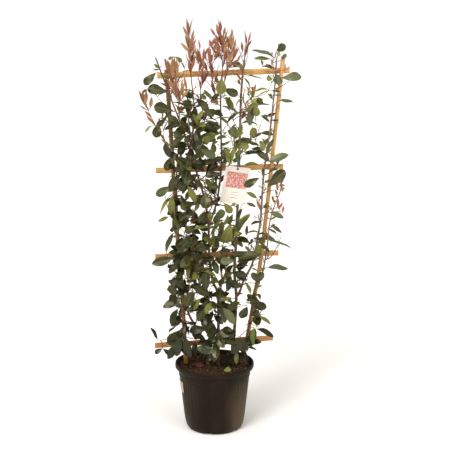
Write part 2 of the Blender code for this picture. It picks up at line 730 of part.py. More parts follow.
def main():
    clear_scene()
    parts = new_collection("photinia_red_robin")
    cutters = new_collection("cutters")
    plastic = material("pot_plastic", (0.030, 0.024, 0.020), 0.55)
    peat = material("compost", (0.050, 0.028, 0.016), 0.95)
    bamboo = material("bamboo", (0.55, 0.32, 0.12), 0.50)
    bark = material("bark", (0.12, 0.06, 0.04), 0.75)
    rubber = material("tie_plastic", (0.03, 0.07, 0.05), 0.50)
    twine = material("label_tie_plastic", (0.06, 0.26, 0.18), 0.45)
    card = material("label_card", (0.90, 0.80, 0.74), 0.60)
    finishes = {
        "mature": material("mature_leaves", (0.045, 0.075, 0.025), 0.32),
        "young": material("young_leaves", (0.16, 0.21, 0.05), 0.38),
        "bronze": material("bronze_leaves", (0.42, 0.20, 0.09), 0.40),
        "plume": material("red_leaves", (0.36, 0.10, 0.06), 0.42),
    }
    compost = make_pot(parts, cutters, plastic, peat)
    canes = make_frame(parts, cutters, compost, bamboo)
    limbs = make_limbs(parts, bark)
    make_ties(parts, canes, limbs, rubber)
    make_label(parts, cutters, limbs, card, twine)
    bpy.context.view_layer.update()
    make_foliage(parts, limbs, finishes)


main()
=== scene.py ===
import math
import random
from itertools import combinations
import bpy
import bmesh
import numpy as np
from mathutils import Matrix, Vector
from mathutils.bvhtree import BVHTree


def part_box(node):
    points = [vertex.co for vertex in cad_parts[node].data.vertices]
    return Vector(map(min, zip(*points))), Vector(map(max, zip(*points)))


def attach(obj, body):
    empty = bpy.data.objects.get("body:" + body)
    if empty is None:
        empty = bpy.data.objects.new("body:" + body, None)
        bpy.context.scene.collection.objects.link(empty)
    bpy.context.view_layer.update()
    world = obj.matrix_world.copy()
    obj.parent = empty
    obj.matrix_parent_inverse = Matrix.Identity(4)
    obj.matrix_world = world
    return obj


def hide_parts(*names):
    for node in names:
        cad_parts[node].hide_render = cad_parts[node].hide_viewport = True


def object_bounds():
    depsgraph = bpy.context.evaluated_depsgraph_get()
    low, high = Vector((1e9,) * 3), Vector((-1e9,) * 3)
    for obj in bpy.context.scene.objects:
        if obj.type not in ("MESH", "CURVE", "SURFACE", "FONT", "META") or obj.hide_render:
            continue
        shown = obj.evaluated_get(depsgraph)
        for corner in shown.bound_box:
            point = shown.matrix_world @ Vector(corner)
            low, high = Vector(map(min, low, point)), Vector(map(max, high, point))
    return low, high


# An evergreen shrub with red young leaves, tied to a bamboo frame in a nursery pot.
# Metres, z up, the front towards -y. The origin is the middle of the pot's flat underside.

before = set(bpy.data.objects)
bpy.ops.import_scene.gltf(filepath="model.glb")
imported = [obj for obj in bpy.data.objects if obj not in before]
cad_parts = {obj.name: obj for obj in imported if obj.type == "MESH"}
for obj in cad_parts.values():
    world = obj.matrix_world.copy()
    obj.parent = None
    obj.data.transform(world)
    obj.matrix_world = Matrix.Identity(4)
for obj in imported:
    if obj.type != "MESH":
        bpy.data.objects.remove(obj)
cadLow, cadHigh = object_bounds()
print("frame loaded:", len(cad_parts), "nodes")


# small helpers for selecting, shading and rods

def tone(red, green, blue):  # a colour as seen on screen, 0 to 255, made linear
    shares = [c / 255 for c in (red, green, blue)]
    return tuple(((s + 0.055) / 1.055) ** 2.4 if s > 0.04 else s / 12.92 for s in shares) + (1.0,)


class Wire:
    # one shader socket: sums, products and comparisons with it add Math nodes
    def __init__(self, finish, socket):
        self.finish, self.socket = finish, socket

    def math(self, operation, *others):
        values = dict(enumerate((self, *others)))
        return self.finish.node("ShaderNodeMath", {"operation": operation}, values)

    def __add__(self, other):
        return self.math("ADD", other)

    def __sub__(self, other):
        return self.math("SUBTRACT", other)

    def __rsub__(self, other):
        return self.finish.node("ShaderNodeMath", {"operation": "SUBTRACT"}, {0: other, 1: self})

    def __mul__(self, other):
        return self.math("MULTIPLY", other)

    def __gt__(self, other):
        return self.math("GREATER_THAN", other)

    def __lt__(self, other):
        return self.math("LESS_THAN", other)

    def __abs__(self):
        return self.math("ABSOLUTE")

    __radd__, __rmul__ = __add__, __mul__

    def output(self, name):
        return Wire(self.finish, self.socket.node.outputs[name])


class Finish:
    # a material: what stays the same is set on its shader, what varies is fed by links
    def __init__(self, name, sockets):
        self.material = bpy.data.materials.new(name)
        self.material.use_nodes = True
        self.tree = self.material.node_tree
        self.shader = self.tree.nodes["Principled BSDF"]
        self.put(sockets)

    def put(self, sockets):
        for name, value in sockets.items():
            self.feed(self.shader.inputs[name], value)
        return self.material

    def feed(self, socket, value):
        if isinstance(value, Wire):
            self.tree.links.new(value.socket, socket)
        else:
            socket.default_value = value

    def node(self, kind, settings=None, inputs=None, output=0):
        made = self.tree.nodes.new(kind)
        for name, value in (settings or {}).items():
            setattr(made, name, value)
        for name, value in (inputs or {}).items():
            self.feed(made.inputs[name], value)
        return Wire(self, made.outputs[output])

    def place(self, scale=(1, 1, 1), turn=(0, 0, 0)):
        spot = self.node("ShaderNodeTexCoord", output="Object")
        return self.node("ShaderNodeMapping", None, {"Vector": spot, "Scale": scale, "Rotation": turn})

    def noise(self, spot, scale, detail=3.0):
        return self.node("ShaderNodeTexNoise", None, {"Vector": spot, "Scale": scale, "Detail": detail})

    def spots(self, spot, scale):  # how far it is to the nearest of many scattered points
        return self.node("ShaderNodeTexVoronoi", None, {"Vector": spot, "Scale": scale}, "Distance")

    def parts(self, spot):  # the x, y and z of a vector
        split = self.node("ShaderNodeSeparateXYZ", None, {0: spot})
        return split, split.output("Y"), split.output("Z")

    def step(self, value, low, high):  # 0 below low, 1 above high
        return self.node("ShaderNodeMapRange", None, {"Value": value, "From Min": low, "From Max": high})

    def mix(self, share, first, second):
        return self.node("ShaderNodeMix", {"data_type": "RGBA"}, {0: share, 6: first, 7: second}, 2)

    def bump(self, height, distance, strength=1.0):
        inputs = {"Height": height, "Distance": distance, "Strength": strength}
        return self.node("ShaderNodeBump", None, inputs)


def band(value, low, high):  # 1 between low and high
    return (value > low) * (value < high)


def deselectAll():
    for thing in list(bpy.context.selected_objects):
        thing.select_set(False)


def pick(piece, test):  # in edit mode, selects what the test says of each point's place
    bpy.ops.mesh.select_all(action="DESELECT")
    shape = bmesh.from_edit_mesh(piece.data)
    for point in shape.verts:
        if test(point.co):
            point.select_set(True)
    shape.select_flush(True)
    bmesh.update_edit_mesh(piece.data)


def editMode(on):
    bpy.ops.object.mode_set(mode="EDIT" if on else "OBJECT")


def mergePoints(distance=0.00001):
    bpy.ops.mesh.select_all(action="SELECT")
    bpy.ops.mesh.remove_doubles(threshold=distance)
    bpy.ops.mesh.normals_make_consistent(inside=False)


def onlyPiece(piece):
    deselectAll()
    piece.select_set(True)
    bpy.context.view_layer.objects.active = piece


def applyPlace(piece):
    onlyPiece(piece)
    bpy.ops.object.transform_apply(location=True, rotation=True, scale=True)


def modify(piece, kind, settings):  # adds a modifier and applies it
    onlyPiece(piece)
    added = piece.modifiers.new(kind.title(), kind)
    for name, value in settings.items():
        setattr(added, name, value)
    bpy.ops.object.modifier_apply(modifier=added.name)


def smoothBy(piece, degrees):
    onlyPiece(piece)
    bpy.ops.object.shade_smooth_by_angle(angle=math.radians(degrees))


def camelName(node):  # left_cane to leftCane
    first, *others = node.split("_")
    return first + "".join(word.title() for word in others)


def hold(piece, nodes, finish=None):  # every piece rides on the one body
    if finish:
        piece.data.materials.append(finish)
    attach(piece, "root")
    if nodes:
        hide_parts(*nodes)


def lathe(name, profile, sides):  # a wall raised ring by ring from its foot, closed at both ends
    deselectAll()
    footRadius, footHeight = radius, height = profile[0]
    bpy.ops.mesh.primitive_circle_add(vertices=sides, radius=radius, location=(0, 0, height))
    piece = bpy.context.active_object
    piece.name = name
    applyPlace(piece)
    editMode(True)
    bpy.ops.mesh.select_all(action="SELECT")
    for nextRadius, nextHeight in profile[1:]:
        bpy.ops.mesh.extrude_region_move(TRANSFORM_OT_translate={"value": (0, 0, nextHeight - height)})
        share = nextRadius / radius
        bpy.ops.transform.resize(value=(share, share, 1), center_override=(0, 0, nextHeight))
        radius, height = nextRadius, nextHeight
    bpy.ops.mesh.edge_face_add()
    pick(piece, lambda p: abs(p.z - footHeight) < 1e-6 and abs(p.xy.length - footRadius) < 1e-5)
    bpy.ops.mesh.edge_face_add()
    mergePoints()
    editMode(False)
    return piece


def curvePath(points, steps):  # a smooth curve through the points
    points = [Vector(p) for p in points]
    ends = [points[0] * 2 - points[1]] + points + [points[-1] * 2 - points[-2]]
    path = []
    for a, b, c, d in zip(ends, ends[1:], ends[2:], ends[3:]):
        for step in range(steps):
            t = step / steps
            path.append(0.5 * (2 * b + (c - a) * t + (2 * a - 5 * b + 4 * c - d) * t * t
                               + (3 * b - a - 3 * c + d) * t ** 3))
    return path + [points[-1]]


def evenPath(path, spacing):  # the same line with its points a fixed way apart
    line = np.array([tuple(p) for p in path])
    along = np.concatenate([[0], np.cumsum(np.linalg.norm(np.diff(line, axis=0), axis=1))])
    count = max(2, int(round(along[-1] / spacing)) + 1)
    places = np.linspace(0, along[-1], count)
    return [Vector([np.interp(s, along, line[:, axis]) for axis in range(3)]) for s in places], places


def rod(name, path, radii, sides):  # a curve given a round section, made a mesh
    deselectAll()
    bpy.ops.curve.primitive_bezier_curve_add()
    piece = bpy.context.active_object
    piece.name = name
    curve = piece.data
    curve.splines.clear()
    spline = curve.splines.new("POLY")
    spline.points.add(len(path) - 1)
    for point, place, radius in zip(spline.points, path, radii):
        point.co = (*place, 1)
        point.radius = radius
    curve.bevel_depth = 1.0
    curve.bevel_resolution = sides // 2 - 2  # gives a section of that many sides
    curve.use_fill_caps = True
    bpy.ops.object.convert(target="MESH")
    piece = bpy.context.active_object
    applyPlace(piece)
    editMode(True)
    mergePoints()
    editMode(False)
    return piece


# camera, light and floor

view = {"place": (0.0, -3.2, 1.31), "down": 11.17, "right": 0.679, "lens": 80.63, "sensor": 36}
light = {  # each lamp's strength, softness and turn, in degrees
    "sky": 0.45, "skyTint": (1, 0.97, 0.92, 1), "backdrop": 1.0, "lampTint": (1, 0.975, 0.93),
    "lamps": {"top": (1.30, 60, (16, 0, -20)), "key": (1.85, 24, (50, 0, -30)),
              "fill": (0.75, 45, (60, 0, 45))},
}
ground = {"size": 60, "light": (251, 250, 249), "dark": (240, 239, 237), "patches": 3.0, "depth": 0.05}

camera = bpy.data.objects.new("camera", bpy.data.cameras.new("camera"))
bpy.context.scene.collection.objects.link(camera)
camera.location = view["place"]
camera.rotation_euler = (math.radians(90 - view["down"]), 0, -math.radians(view["right"]))
camera.data.lens = view["lens"]
camera.data.sensor_width = view["sensor"]
bpy.context.scene.camera = camera
bpy.context.scene.view_settings.view_transform = "Standard"

for name, (strength, softness, turn) in light["lamps"].items():
    lamp = bpy.data.lights.new(name, "SUN")
    lamp.energy = strength
    lamp.color = light["lampTint"]
    lamp.angle = math.radians(softness)
    holder = bpy.data.objects.new(name, lamp)
    holder.rotation_euler = [math.radians(a) for a in turn]
    bpy.context.scene.collection.objects.link(holder)

world = bpy.data.worlds.new("studio")
bpy.context.scene.world = world
world.use_nodes = True
skyNodes, skyLinks = world.node_tree.nodes, world.node_tree.links
choose = skyNodes.new("ShaderNodeMixShader")  # the lit sky, or the backdrop that the camera sees
rays = skyNodes.new("ShaderNodeLightPath")
skyLinks.new(rays.outputs["Is Camera Ray"], choose.inputs[0])
backgrounds = ((skyNodes["Background"], light["sky"], light["skyTint"]),
               (skyNodes.new("ShaderNodeBackground"), light["backdrop"], (1, 1, 1, 1)))
for socket, (background, strength, colour) in zip(choose.inputs[1:], backgrounds):
    background.inputs["Strength"].default_value = strength
    background.inputs["Color"].default_value = colour
    skyLinks.new(background.outputs[0], socket)
skyLinks.new(choose.outputs[0], skyNodes["World Output"].inputs["Surface"])

deselectAll()
bpy.ops.mesh.primitive_plane_add(size=ground["size"])
floor = bpy.context.active_object
floor.name = "floor"
floorFinish = Finish("floorPaint", {"Roughness": 0.9, "Specular IOR Level": 0.1})
patches = floorFinish.noise(floorFinish.place(), ground["patches"]) * ground["depth"]
floor.data.materials.append(floorFinish.put({
    "Base Color": floorFinish.mix(patches, tone(*ground["light"]), tone(*ground["dark"]))}))
print("camera, light and floor")


# pot

pot = {
    "sides": 128,
    "wall": [(0.0835, 0.0), (0.0873, 0.0012), (0.0910, 0.0046), (0.0942, 0.0105), (0.0963, 0.0175),
             (0.0982, 0.0260), (0.0998, 0.0360), (0.1010, 0.0470), (0.1041, 0.0750), (0.1074, 0.1050),
             (0.1107, 0.1350), (0.1142, 0.1660), (0.1155, 0.1780), (0.1161, 0.1793), (0.1177, 0.1801),
             (0.1181, 0.1820), (0.1188, 0.1925), (0.1194, 0.2022), (0.1203, 0.2040), (0.1257, 0.2049),
             (0.1284, 0.2060), (0.1297, 0.2080), (0.1300, 0.2106), (0.1300, 0.2174), (0.1295, 0.2204),
             (0.1281, 0.2220), (0.1263, 0.2225), (0.1249, 0.2218), (0.1239, 0.2200), (0.1215, 0.2130),
             (0.1181, 0.2080), (0.1172, 0.2000), (0.1135, 0.1780), (0.0979, 0.0365), (0.0718, 0.0138),
             (0.0710, 0.0034)],
    "straight": (6, 12), "skin": 0.001,  # the rings where the straight wall starts and ends
    "ribs": (-32, -144, 34, 142), "ribSpread": 14, "ribHeights": (0.040, 0.172),
    "ribGrowth": (1.004, 1.009),
    "notches": 6, "notchShift": 0.3, "notchSize": (0.0135, 0.0110), "notchRing": 0.0905,
    "notchDepth": 0.032,
    "drains": 4, "drainShift": 0.25, "drainSize": 0.006, "drainRing": 0.052, "drainDepth": 0.02,
    "colour": tone(19, 13, 8), "dust": tone(37, 29, 21), "scuffs": tone(84, 66, 50),
    # the rib tone is a painted highlight for the rib crests
    "stain": tone(100, 84, 66), "ribCrestHighlight": tone(104, 88, 70), "flecks": tone(150, 140, 124),
}


def wallRadius(height):  # the outside of the straight wall
    (lowRadius, low), (highRadius, high) = (pot["wall"][ring] for ring in pot["straight"])
    return lowRadius + (highRadius - lowRadius) * (height - low) / (high - low)


potShell = lathe("potShell", pot["wall"], pot["sides"])
editMode(True)


def onRib(p):  # every second column of the wall, from the foot to the step
    low, high = pot["ribHeights"]
    column = round(math.atan2(p.y, p.x) / math.tau * pot["sides"])
    return low < p.z < high and column % 2 == 0 and p.xy.length > wallRadius(p.z) - pot["skin"]


def inGroup(p):  # the ribs stand out more in four groups
    turn = math.degrees(math.atan2(p.y, p.x))
    gaps = [abs((turn - middle + 180) % 360 - 180) for middle in pot["ribs"]]
    return onRib(p) and min(gaps) < pot["ribSpread"]


for test, share in zip((onRib, inGroup), pot["ribGrowth"]):
    pick(potShell, test)
    bpy.ops.transform.resize(value=(share, share, 1), center_override=(0, 0, 0))
editMode(False)


def cutAway(piece, places, radius, depth, turns, flatter=1.0):  # holes, each from one cylinder
    for place, turn in zip(places, turns):
        deselectAll()
        bpy.ops.mesh.primitive_cylinder_add(vertices=28, radius=radius, depth=depth, location=place,
                                            rotation=turn)
        cutter = bpy.context.active_object
        cutter.scale = (flatter, 1, 1)
        modify(piece, "BOOLEAN", {"operation": "DIFFERENCE", "object": cutter})
        bpy.data.objects.remove(cutter, do_unlink=True)


def ring(count, radius, height, shift):
    turns = [math.tau * (number + shift) / count for number in range(count)]
    return [(radius * math.cos(t), radius * math.sin(t), height) for t in turns], turns


width, height = pot["notchSize"]
places, turns = ring(pot["notches"], pot["notchRing"], 0.0, pot["notchShift"])
lying = [(0, math.pi / 2, turn) for turn in turns]
cutAway(potShell, places, width, pot["notchDepth"], lying, height / width)
places, turns = ring(pot["drains"], pot["drainRing"], 0.0, pot["drainShift"])
cutAway(potShell, places, pot["drainSize"], pot["drainDepth"], [(0, 0, 0)] * len(places))
smoothBy(potShell, 32)

plastic = Finish("potPlastic", {"Specular IOR Level": 0.15, "Specular Tint": (1, 0.82, 0.62, 1)})
spot = plastic.place()
sideways, deep, high = plastic.parts(spot)
dust = plastic.noise(plastic.place((5, 5, 2.2)), 3.4, 6.0)
scuffs = plastic.noise(plastic.place((60, 60, 5)), 6.0, 4.0)
grains = plastic.noise(spot, 900.0, 2.0)
rightSide = plastic.step(sideways * 0.95 - deep * 0.20, 0.048, 0.104)
stain = rightSide * plastic.step(high, 0.185, 0.03) * plastic.step(dust, 0.25, 0.60)
flecks = (plastic.spots(spot, 75.0) < 0.085) * (plastic.noise(spot, 9.0) > 0.60)
base = plastic.mix(plastic.step(dust, 0.40, 0.80), pot["colour"], pot["dust"])
base = plastic.mix(plastic.step(scuffs, 0.60, 0.85) * 0.24, base, pot["scuffs"])
base = plastic.mix(stain * 0.9, base, pot["stain"])
columns = deep.math("ARCTAN2", sideways) * (pot["sides"] / 2)  # a wave with its crests on the ribs
# painted highlight: the rib crests are made lighter, more so on the right side, where the ribs catch the
# light
ribHighlight = plastic.step(columns.math("COSINE"), 0.0, 0.9)
ribHighlight = ribHighlight * band(high, *pot["ribHeights"]) * plastic.step(abs(sideways), 0.055, 0.085)
base = plastic.mix(ribHighlight * (0.16 + rightSide * 0.2), base, pot["ribCrestHighlight"])
base = plastic.mix(flecks * 0.6, base, pot["flecks"])
hold(potShell, ["pot"], plastic.put({
    "Base Color": base,
    "Roughness": 0.42 + plastic.step(dust, 0.35, 0.75) * 0.28,
    "Normal": plastic.bump(grains * 0.6 + scuffs * 0.8, 0.0003, 0.35)}))

# a blank sticker on the wall, cut from the wall's own curve
sticker = {"from": 175, "to": 207, "low": 0.130, "high": 0.167, "columns": 12, "rows": 8, "proud": 0.0021,
           "edge": 0.42, "edgeLift": 0.0006, "thickness": 0.00025,
           "paper": tone(196, 182, 160), "stains": tone(146, 130, 108)}
deselectAll()
bpy.ops.mesh.primitive_grid_add(x_subdivisions=sticker["columns"], y_subdivisions=sticker["rows"], size=1)
potSticker = bpy.context.active_object
potSticker.name = "potSticker"
for point in potSticker.data.vertices:
    turn = math.radians(sticker["from"] + (sticker["to"] - sticker["from"]) * (point.co.x + 0.5))
    height = sticker["low"] + (sticker["high"] - sticker["low"]) * (point.co.y + 0.5)
    loose = max(0.0, abs(point.co.x) - sticker["edge"]) / (0.5 - sticker["edge"])
    radius = wallRadius(height) + sticker["proud"] + sticker["edgeLift"] * loose
    point.co = (radius * math.cos(turn), radius * math.sin(turn), height)
modify(potSticker, "SOLIDIFY", {"thickness": sticker["thickness"], "offset": 0})
smoothBy(potSticker, 40)
paper = Finish("stickerPaper", {"Roughness": 0.6})
worn = paper.noise(paper.place(), 90.0, 6.0)
hold(potSticker, [], paper.put({
    "Base Color": paper.mix(paper.step(worn, 0.42, 0.62), sticker["paper"], sticker["stains"]),
    "Normal": paper.bump(worn, 0.0003, 0.4)}))
print("pot")


# compost and its crumbs of bark

compost = {"radius": 0.1176, "top": 0.2088, "depth": 0.012, "rings": 30, "sides": 96, "hills": 0.00171,
           "flatEdge": 0.03, "clod": 0.012, "clodHeight": 0.0032,
           "colour": tone(33, 24, 15), "lumps": tone(76, 56, 36), "strands": tone(140, 104, 70)}
chips = {  # how many, from what size to what size, and their colour
    "dark": (420, (0.0024, 0.0060), (58, 42, 30)), "brown": (760, (0.0020, 0.0056), (98, 66, 42)),
    "pale": (230, (0.0022, 0.0044), (186, 146, 104))}
rng = random.Random(11)


def soilHeight(x, y):
    hill = math.sin(x * 61 + 1.3) * math.cos(y * 47 - 0.6) + 0.6 * math.sin(x * 133 + y * 97)
    inward = min(1.0, (compost["radius"] - math.hypot(x, y)) / compost["flatEdge"])
    return compost["top"] + compost["hills"] * hill * max(0.25, inward)


profile = [(compost["radius"], compost["top"] - compost["depth"])]
for number in range(compost["rings"]):
    profile.append((compost["radius"] * (1 - number / compost["rings"]), compost["top"]))
soil = lathe("soil", profile, compost["sides"])
clods = bpy.data.textures.new("clods", "CLOUDS")
clods.noise_scale = compost["clod"]
for point in soil.data.vertices:
    if point.co.z > compost["top"] - 0.004:
        point.co.z = soilHeight(point.co.x, point.co.y)
modify(soil, "DISPLACE", {"texture": clods, "strength": compost["clodHeight"], "mid_level": 0.5,
                          "direction": "Z", "texture_coords": "LOCAL"})
smoothBy(soil, 60)
peat = Finish("peat", {"Roughness": 0.95, "Specular IOR Level": 0.15})
lumps = peat.noise(peat.place(), 160.0, 6.0)
strands = peat.noise(peat.place((1, 4, 1), (0, 0, 0.6)), 90.0, 4.0)
base = peat.mix(peat.step(lumps, 0.38, 0.66), compost["colour"], compost["lumps"])
base = peat.mix(peat.step(strands, 0.62, 0.74) * 0.6, base, compost["strands"])
hold(soil, ["compost"], peat.put({"Base Color": base, "Normal": peat.bump(lumps, 0.004, 0.8)}))

cube = np.array([(x, y, z) for x in (-1, 1) for y in (-1, 1) for z in (-1, 1)], float)
cubeFaces = [(0, 1, 3, 2), (4, 6, 7, 5), (0, 4, 5, 1), (2, 3, 7, 6), (0, 2, 6, 4), (1, 5, 7, 3)]
for tint, (count, sizes, colour) in chips.items():
    corners, faces = [], []
    for number in range(count):
        reach = (compost["radius"] - 0.004) * math.sqrt(rng.random())
        turn = rng.uniform(0, math.tau)
        x, y = reach * math.cos(turn), reach * math.sin(turn)
        size = rng.uniform(*sizes)
        sides = np.array([size, size * rng.uniform(0.35, 0.8), size * rng.uniform(0.16, 0.4)]) / 2
        spin = Matrix.Rotation(rng.uniform(0, math.tau), 3, "Z")
        spin = spin @ Matrix.Rotation(rng.gauss(0, 0.5), 3, "X")
        spin = spin @ Matrix.Rotation(rng.gauss(0, 0.4), 3, "Y")
        shape = cube * sides * np.array([[rng.uniform(0.6, 1.1) for _ in range(3)] for _ in range(8)])
        shape = shape @ np.array(spin).T + np.array([x, y, soilHeight(x, y) + size * 0.16])
        faces += [tuple(i + 8 * number for i in face) for face in cubeFaces]
        corners.append(shape)
    mesh = bpy.data.meshes.new(tint + "Chips")
    mesh.from_pydata(np.vstack(corners).tolist(), [], faces)
    pile = bpy.data.objects.new(tint + "Chips", mesh)
    bpy.context.scene.collection.objects.link(pile)
    crumb = Finish(tint + "Bark", {"Roughness": 0.9, "Specular IOR Level": 0.2})
    fibres = crumb.noise(crumb.place((1, 1, 3)), 320.0, 4.0)
    darker = tuple(c * 0.55 for c in colour)
    hold(pile, ["compost"], crumb.put({
        "Base Color": crumb.mix(crumb.step(fibres, 0.35, 0.7), tone(*darker), tone(*colour)),
        "Normal": crumb.bump(fibres, 0.0008, 0.6)}))
print("compost")


# bamboo frame

bamboo = {
    "middle": 0.030, "turn": 0.15, "radius": 0.0068, "sides": 20,
    "canes": {
        "left_cane": [(-0.0905, 0.150), (-0.095, 0.210), (-0.107, 0.476), (-0.120, 0.650), (-0.137, 0.976),
                      (-0.149, 1.176)],
        "right_cane": [(0.0865, 0.150), (0.096, 0.210), (0.136, 0.445), (0.160, 0.610), (0.194, 0.943),
                       (0.221, 1.216)],
    },
    "slats": {"top_slat": (-0.178, 1.157, 0.244, 1.171), "upper_slat": (-0.186, 0.857, 0.226, 0.861),
              "lower_slat": (-0.192, 0.574, 0.213, 0.573), "foot_slat": (-0.197, 0.273, 0.197, 0.280)},
    "joints": {"left_cane": (0.118, 0.213), "right_cane": (0.064, 0.226)},
    "ringRise": 0.13, "ringWidth": 0.0035, "waist": 0.05, "waistAt": 0.008, "waistWidth": 0.004,
    "cut": 0.0085, "rimOfCut": 0.0028, "hollow": 0.012,
    "splinter": ((0.0010, 0.006, 0.8), (0.0040, 0.007, 0.75), (0.0060, 0.002, 0.5)),
    "slatHeight": 0.0192, "slatThickness": 0.0055, "slatGap": 0.0003, "slatWarmth": (0.0, 0.15, 0.2, 0.2),
    "slatSkin": 0.0030, "slatSink": 0.0012, "camber": 0.0016, "ridge": 0.0008, "ridgeWidth": 0.004,
    "oldCane": "left_cane", "splitCane": "right_cane",
    "young": tone(220, 172, 108), "aged": tone(182, 126, 70), "fibres": tone(138, 94, 52),
    # the last tone is weathering and painted leaf shade on the left cane
    "blotches": tone(98, 68, 42), "weatheredAndShaded": tone(108, 76, 46),
}


def frameDepth(x):  # the frame is flat and stands slightly turned
    return bamboo["middle"] + bamboo["turn"] * x


def caneRadius(near):  # a swollen ring at each joint, with a slight waist beside it
    swell = bamboo["ringRise"] * math.exp(-(near / bamboo["ringWidth"]) ** 2)
    waist = bamboo["waist"] * math.exp(-((near - bamboo["waistAt"]) / bamboo["waistWidth"]) ** 2)
    return bamboo["radius"] * (1 + swell - waist)


def bambooFinish(name, scale, warm):
    cane = Finish(name, {"Specular IOR Level": 0.45, "Coat Roughness": 0.3})
    height = cane.parts(cane.place())[2]
    fibres = cane.noise(cane.place(scale), 24.0, 5.0)
    blotches = cane.noise(cane.place((1, 1, 0.5)), 26.0, 4.0)
    aged = cane.step(height, 0.95, 0.35) * 0.75 + cane.step(blotches, 0.42, 0.70) * 0.35 + warm
    colour = cane.mix(cane.step(aged, 0.05, 1.0), bamboo["young"], bamboo["aged"])
    colour = cane.mix(cane.step(fibres, 0.48, 0.70) * 0.55, colour, bamboo["fibres"])
    colour = cane.mix(cane.step(blotches, 0.60, 0.74) * 0.5, colour, bamboo["blotches"])
    return cane, colour, fibres


for node, turnsOfCane in bamboo["canes"].items():
    points = [(x, frameDepth(x), z) for x, z in turnsOfCane]
    path, along = evenPath(curvePath(points, 6), 0.0045)
    first, spacing = bamboo["joints"][node]
    widths = [caneRadius(min(abs(s - first - spacing * k) for k in range(8))) for s in along]
    cane = rod(camelName(node), path, widths, bamboo["sides"])
    editMode(True)  # a hollow end
    top = path[-1]
    pick(cane, lambda p: (p - top).length < bamboo["cut"] and p.z > top.z - 0.002)
    bpy.ops.mesh.inset(thickness=bamboo["rimOfCut"])
    bpy.ops.mesh.extrude_region_move(TRANSFORM_OT_translate={"value": (0, 0, -bamboo["hollow"])})
    if node == bamboo["splitCane"]:  # a splinter that curls off the cut end
        pick(cane, lambda p: p.z > top.z - 0.0006 and p.x > top.x + 0.0045)
        for shift, height, share in bamboo["splinter"]:
            bpy.ops.mesh.extrude_region_move(TRANSFORM_OT_translate={"value": (shift, 0, height)})
            bpy.ops.transform.resize(value=(share, share, share))
    editMode(False)
    smoothBy(cane, 40)
    # the left cane is made browner all over: weathering, and painted shade of the leaves in front of it
    weatheredAndShadedCane = node == bamboo["oldCane"]
    finish, colour, fibres = bambooFinish(node + "Finish", (9, 9, 0.35), 0.55 if weatheredAndShadedCane else 0.0)
    if weatheredAndShadedCane:  # darker above its middle: weathering, and painted shade of the leaves in front of it
        height = finish.parts(finish.place())[2]
        colour = finish.mix(finish.step(height, 0.50, 0.70) * 0.8, colour, bamboo["weatheredAndShaded"])
    hold(cane, [node], finish.put({
        "Base Color": colour, "Roughness": 0.42 + fibres * 0.15,
        "Normal": finish.bump(fibres, 0.0006, 0.5)}))

back = bamboo["radius"] + bamboo["slatGap"] + bamboo["slatThickness"] / 2
for number, (node, (x1, z1, x2, z2)) in enumerate(bamboo["slats"].items()):
    start = Vector((x1, frameDepth(x1) + back, z1))
    end = Vector((x2, frameDepth(x2) + back, z2))
    length = (end - start).length
    along = (end - start).normalized()
    outward = along.cross(Vector((0, 0, 1))).normalized()
    up = outward.cross(along)
    deselectAll()
    bpy.ops.mesh.primitive_grid_add(x_subdivisions=64, y_subdivisions=6, size=1)
    slat = bpy.context.active_object
    slat.name = camelName(node)
    jointAt = [(-0.36 + 0.11 * number) % 0.9 - 0.45, (0.20 + 0.17 * number) % 0.9 - 0.45]
    for point in slat.data.vertices:
        u, v = point.co.x, point.co.y * 2
        ridge = max(math.exp(-((u - j) * length / bamboo["ridgeWidth"]) ** 2) for j in jointAt)
        wander = 0.0006 * math.sin(u * 19 + number) + 0.0004 * math.sin(u * 47 + v)
        proud = bamboo["camber"] * (1 - v * v) + bamboo["ridge"] * ridge - bamboo["slatSink"]
        rise = v * bamboo["slatHeight"] / 2 + wander * 0.8
        point.co = (start + end) / 2 + along * u * length + up * rise + outward * proud
    modify(slat, "SOLIDIFY", {"thickness": bamboo["slatSkin"], "offset": -1})
    modify(slat, "BEVEL", {"width": 0.0009, "segments": 2, "limit_method": "ANGLE"})
    smoothBy(slat, 40)
    finish, colour, fibres = bambooFinish(node + "Finish", (0.35, 9, 9), bamboo["slatWarmth"][number])
    hold(slat, [node], finish.put({
        "Base Color": colour, "Roughness": 0.46 + fibres * 0.18,
        "Normal": finish.bump(fibres, 0.0008, 0.7)}))
print("bamboo frame")


# stems and boughs

